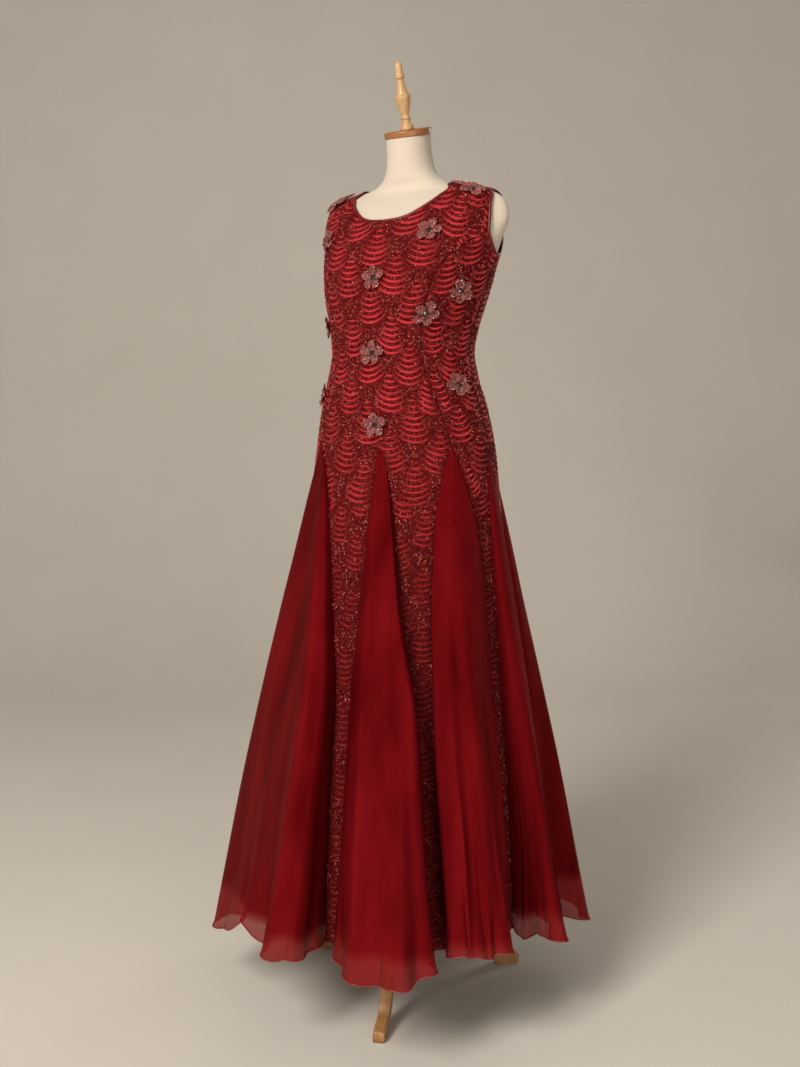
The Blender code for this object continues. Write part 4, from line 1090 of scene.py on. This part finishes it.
for number, (angle, height, turn, seat) in enumerate(FLOWERS, start=1):
    turn = math.radians(turn)
    luck = np.random.default_rng(300 + number)
    lean = luck.uniform(-0.0008, 0.0022, 5)
    bearing = np.arange(PETAL_SIDES)[None, :] * 2 * math.pi / PETAL_SIDES
    share = np.linspace(0.14, 1.0, PETAL_RINGS)[:, None]
    reach = FLOWER_RADIUS * share * petal_reach(bearing, turn)
    lift = seat + petal_lift(share, bearing, turn, lean)
    top = laid(angle, height, reach, bearing + 0 * share, lift + PETAL_WALL)
    under = laid(angle, height, reach, bearing + 0 * share, lift)
    points = np.concatenate((top.reshape(-1, 3), under.reshape(-1, 3)))
    faces = grid_faces(PETAL_RINGS, PETAL_SIDES)
    half = PETAL_RINGS * PETAL_SIDES
    faces += [tuple(i + half for i in face[::-1]) for face in faces]
    for k in range(PETAL_SIDES):
        after = (k + 1) % PETAL_SIDES
        rim = half - PETAL_SIDES
        faces.append((rim + half + k, rim + half + after, rim + after, rim + k))
        faces.append((k, after, half + after, half + k))
    petals = make_mesh(f"petals_{number:02d}", points, faces, petal_net)
    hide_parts(f"flower_{number:02d}")
    edge_bearing = np.arange(EDGE_BEADS) * 2 * math.pi / EDGE_BEADS
    bearing = np.concatenate((edge_bearing, luck.uniform(0, 2 * math.pi, STREWN_BEADS)))
    share = np.concatenate((np.full(EDGE_BEADS, 0.985), np.sqrt(luck.uniform(0.06, 0.9, STREWN_BEADS))))
    lift = seat + petal_lift(share, bearing, turn, lean) + 2 * PETAL_WALL
    centres = laid(angle, height, FLOWER_RADIUS * share * petal_reach(bearing, turn), bearing, lift)
    points, faces = drops(centres, PETAL_BEAD_SIZE)
    beads = make_mesh(f"petal_beads_{number:02d}", points, faces, pearl, False)
    tinted(beads, np.repeat(chance.random(len(centres)), 4))
    bearing = np.arange(STONE_SIDES) * 2 * math.pi / STONE_SIDES
    points, faces = [], []
    for j, (r, out) in enumerate(STONE_RINGS):
        lift = np.full(STONE_SIDES, seat + out + PETAL_WALL)
        points.append(laid(angle, height, STONE_RADIUS * r, bearing + (j % 2) * math.pi / STONE_SIDES, lift))
    for j in range(len(STONE_RINGS) - 1):
        for k in range(STONE_SIDES):
            a, b = j * STONE_SIDES + k, j * STONE_SIDES + (k + 1) % STONE_SIDES
            c, d = a + STONE_SIDES, b + STONE_SIDES
            faces += [(a, b, c), (b, d, c)] if j % 2 == 0 else [(a, b, d), (a, d, c)]
    faces.append(tuple(range((len(STONE_RINGS) - 1) * STONE_SIDES, len(STONE_RINGS) * STONE_SIDES)))
    faces.append(tuple(range(STONE_SIDES))[::-1])
    stone = make_mesh(f"jet_{number:02d}", np.concatenate(points), faces, jet, False)
    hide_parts(f"stone_{number:02d}")

# The cap and finial: a stained and varnished beech disc closes the neck, and a turned finial in
# pale wood is screwed down through it. Both lean forward with the neck.
DISC_RADIUS = 0.046
DISC_THICKNESS = 0.012
# Distance along the finial and radius
FINIAL = (
    (0.000, 0.0141), (0.008, 0.0130), (0.0105, 0.0092), (0.019, 0.0088), (0.021, 0.0103), (0.025, 0.0101),
    (0.027, 0.0078), (0.036, 0.0100), (0.048, 0.0140), (0.056, 0.0155), (0.058, 0.0163), (0.0635, 0.0163),
    (0.066, 0.0125), (0.078, 0.0089), (0.095, 0.0068), (0.0975, 0.0092), (0.104, 0.0093), (0.106, 0.0078),
    (0.118, 0.0072), (0.125, 0.0046), (0.1275, 0.0020),
)


def wood(name, pale_color, dark_color, along, roughness):
    """Varnished wood with its grain along an axis."""
    made, start = new_material(name)
    scale = [170.0, 170.0, 170.0]
    scale[along] = 9.0
    stretched = start.node("ShaderNodeMapping", None, {"Vector": place_of(start), "Scale": tuple(scale)})
    grain = noise(start, 1.0, 5.0, stretched, 0.6)
    fine = noise(start, 3.0, 3.0, stretched)
    coat(start, (grain * 1.7 - 0.35).mix(pale_color, dark_color), roughness + 0.15 * fine,
         (grain + fine * 0.4, 0.0006, 0.35), {"Coat Weight": 0.25, "Coat Roughness": 0.25})
    return made


turned = wood("turned_beech", (0.66, 0.42, 0.21, 1), (0.46, 0.25, 0.10, 1), 2, 0.32)
stained = wood("stained_disc", (0.42, 0.17, 0.055, 1), (0.24, 0.08, 0.022, 1), 0, 0.28)
sawn = wood("leg_beech", (0.50, 0.25, 0.09, 1), (0.30, 0.13, 0.04, 1), 2, 0.45)


last_row = float(len(form_rows) - 1)
neck_ends = plain_points(form_rows, np.array((0.0, 180.0)), np.array((last_row, last_row)))
neck_centre = neck_ends.mean(0)
neck_axis = np.array((0.0, -TILT, 1.0)) / math.hypot(1.0, TILT)


def turning(name, profile, surface, foot, sides, node):
    """A turned piece along the neck's axis, from its foot up, by distances and radii."""
    profile = np.array(profile)
    centres = neck_centre + neck_axis * (foot + profile[:, :1])
    points, faces = tube(centres, 0 * centres + neck_axis, profile[:, 1], sides, (1.0, 0.0, 0.0))
    piece = make_mesh(name, points, faces, surface)
    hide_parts(node)


LOW_ROUND = 0.0018
HIGH_ROUND = 0.003
disc_profile = [(0.0, 0.0425)]
for a in np.linspace(0, math.pi / 2, 6):
    rise = LOW_ROUND - LOW_ROUND * math.cos(a)
    disc_profile.append((rise, DISC_RADIUS - LOW_ROUND + LOW_ROUND * math.sin(a)))
for a in np.linspace(0, math.pi / 2, 6):
    rise = DISC_THICKNESS - HIGH_ROUND + HIGH_ROUND * math.sin(a)
    disc_profile.append((rise, DISC_RADIUS - HIGH_ROUND + HIGH_ROUND * math.cos(a)))
turning("cap_disc", disc_profile, stained, 0.0003, 72, "neck_cap")
finial_profile = curve(np.arange(len(FINIAL)), FINIAL, np.linspace(0, len(FINIAL) - 1, 90))
turning("finial_turned", finial_profile, turned, DISC_THICKNESS + 0.0006, 40, "finial")

# The stand: a beech pole stepped into a turned hub, and three sawn and varnished legs that are
# let into the hub and curve down to the floor.
LEG_ANGLES = (21.0, 141.0, 261.0)
# Distance from the pole, underside height, depth, width
LEG_ROWS = (
    (0.0343, 0.206, 0.060, 0.024),
    (0.054, 0.193, 0.052, 0.024),
    (0.078, 0.160, 0.046, 0.023),
    (0.104, 0.117, 0.040, 0.022),
    (0.131, 0.076, 0.036, 0.022),
    (0.157, 0.041, 0.032, 0.021),
    (0.181, 0.014, 0.030, 0.021),
    (0.199, 0.000, 0.028, 0.020),
    (0.236, 0.000, 0.017, 0.020),
)
CORNER = 0.0022
CORNER_SIGNS = ((-1, 0), (1, 0), (1, 1), (-1, 1))
CORNER_STEPS = 4
LEG_RINGS = 57
for number, angle in enumerate(LEG_ANGLES, start=1):
    turn = math.radians(angle)
    out = np.array((math.sin(turn), -math.cos(turn), 0.0))
    side = np.array((math.cos(turn), math.sin(turn), 0.0))
    rows = curve(np.arange(len(LEG_ROWS)), LEG_ROWS, np.linspace(0, len(LEG_ROWS) - 1, LEG_RINGS))
    points = []
    for reach, low, depth, width in rows:
        for corner, (sx, sz) in enumerate(CORNER_SIGNS):
            for part in range(CORNER_STEPS):
                around = math.pi * (1 + corner * 0.5) + part * math.pi / 6
                x = sx * (width / 2 - CORNER) + CORNER * math.cos(around)
                z = low + CORNER + sz * (depth - 2 * CORNER) + CORNER * math.sin(around)
                points.append(out * reach + side * x + np.array((0, 0, z)))
    piece = make_mesh(f"leg_sawn_{number}", points, capped(LEG_RINGS, 4 * CORNER_STEPS), sawn)
    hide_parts(f"leg_{number}")
for name in ("pole", "hub"):
    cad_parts[name].data.materials.clear()
    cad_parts[name].data.materials.append(sawn)

size = {"cad": cad_box, "visual": [list(corner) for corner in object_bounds()]}
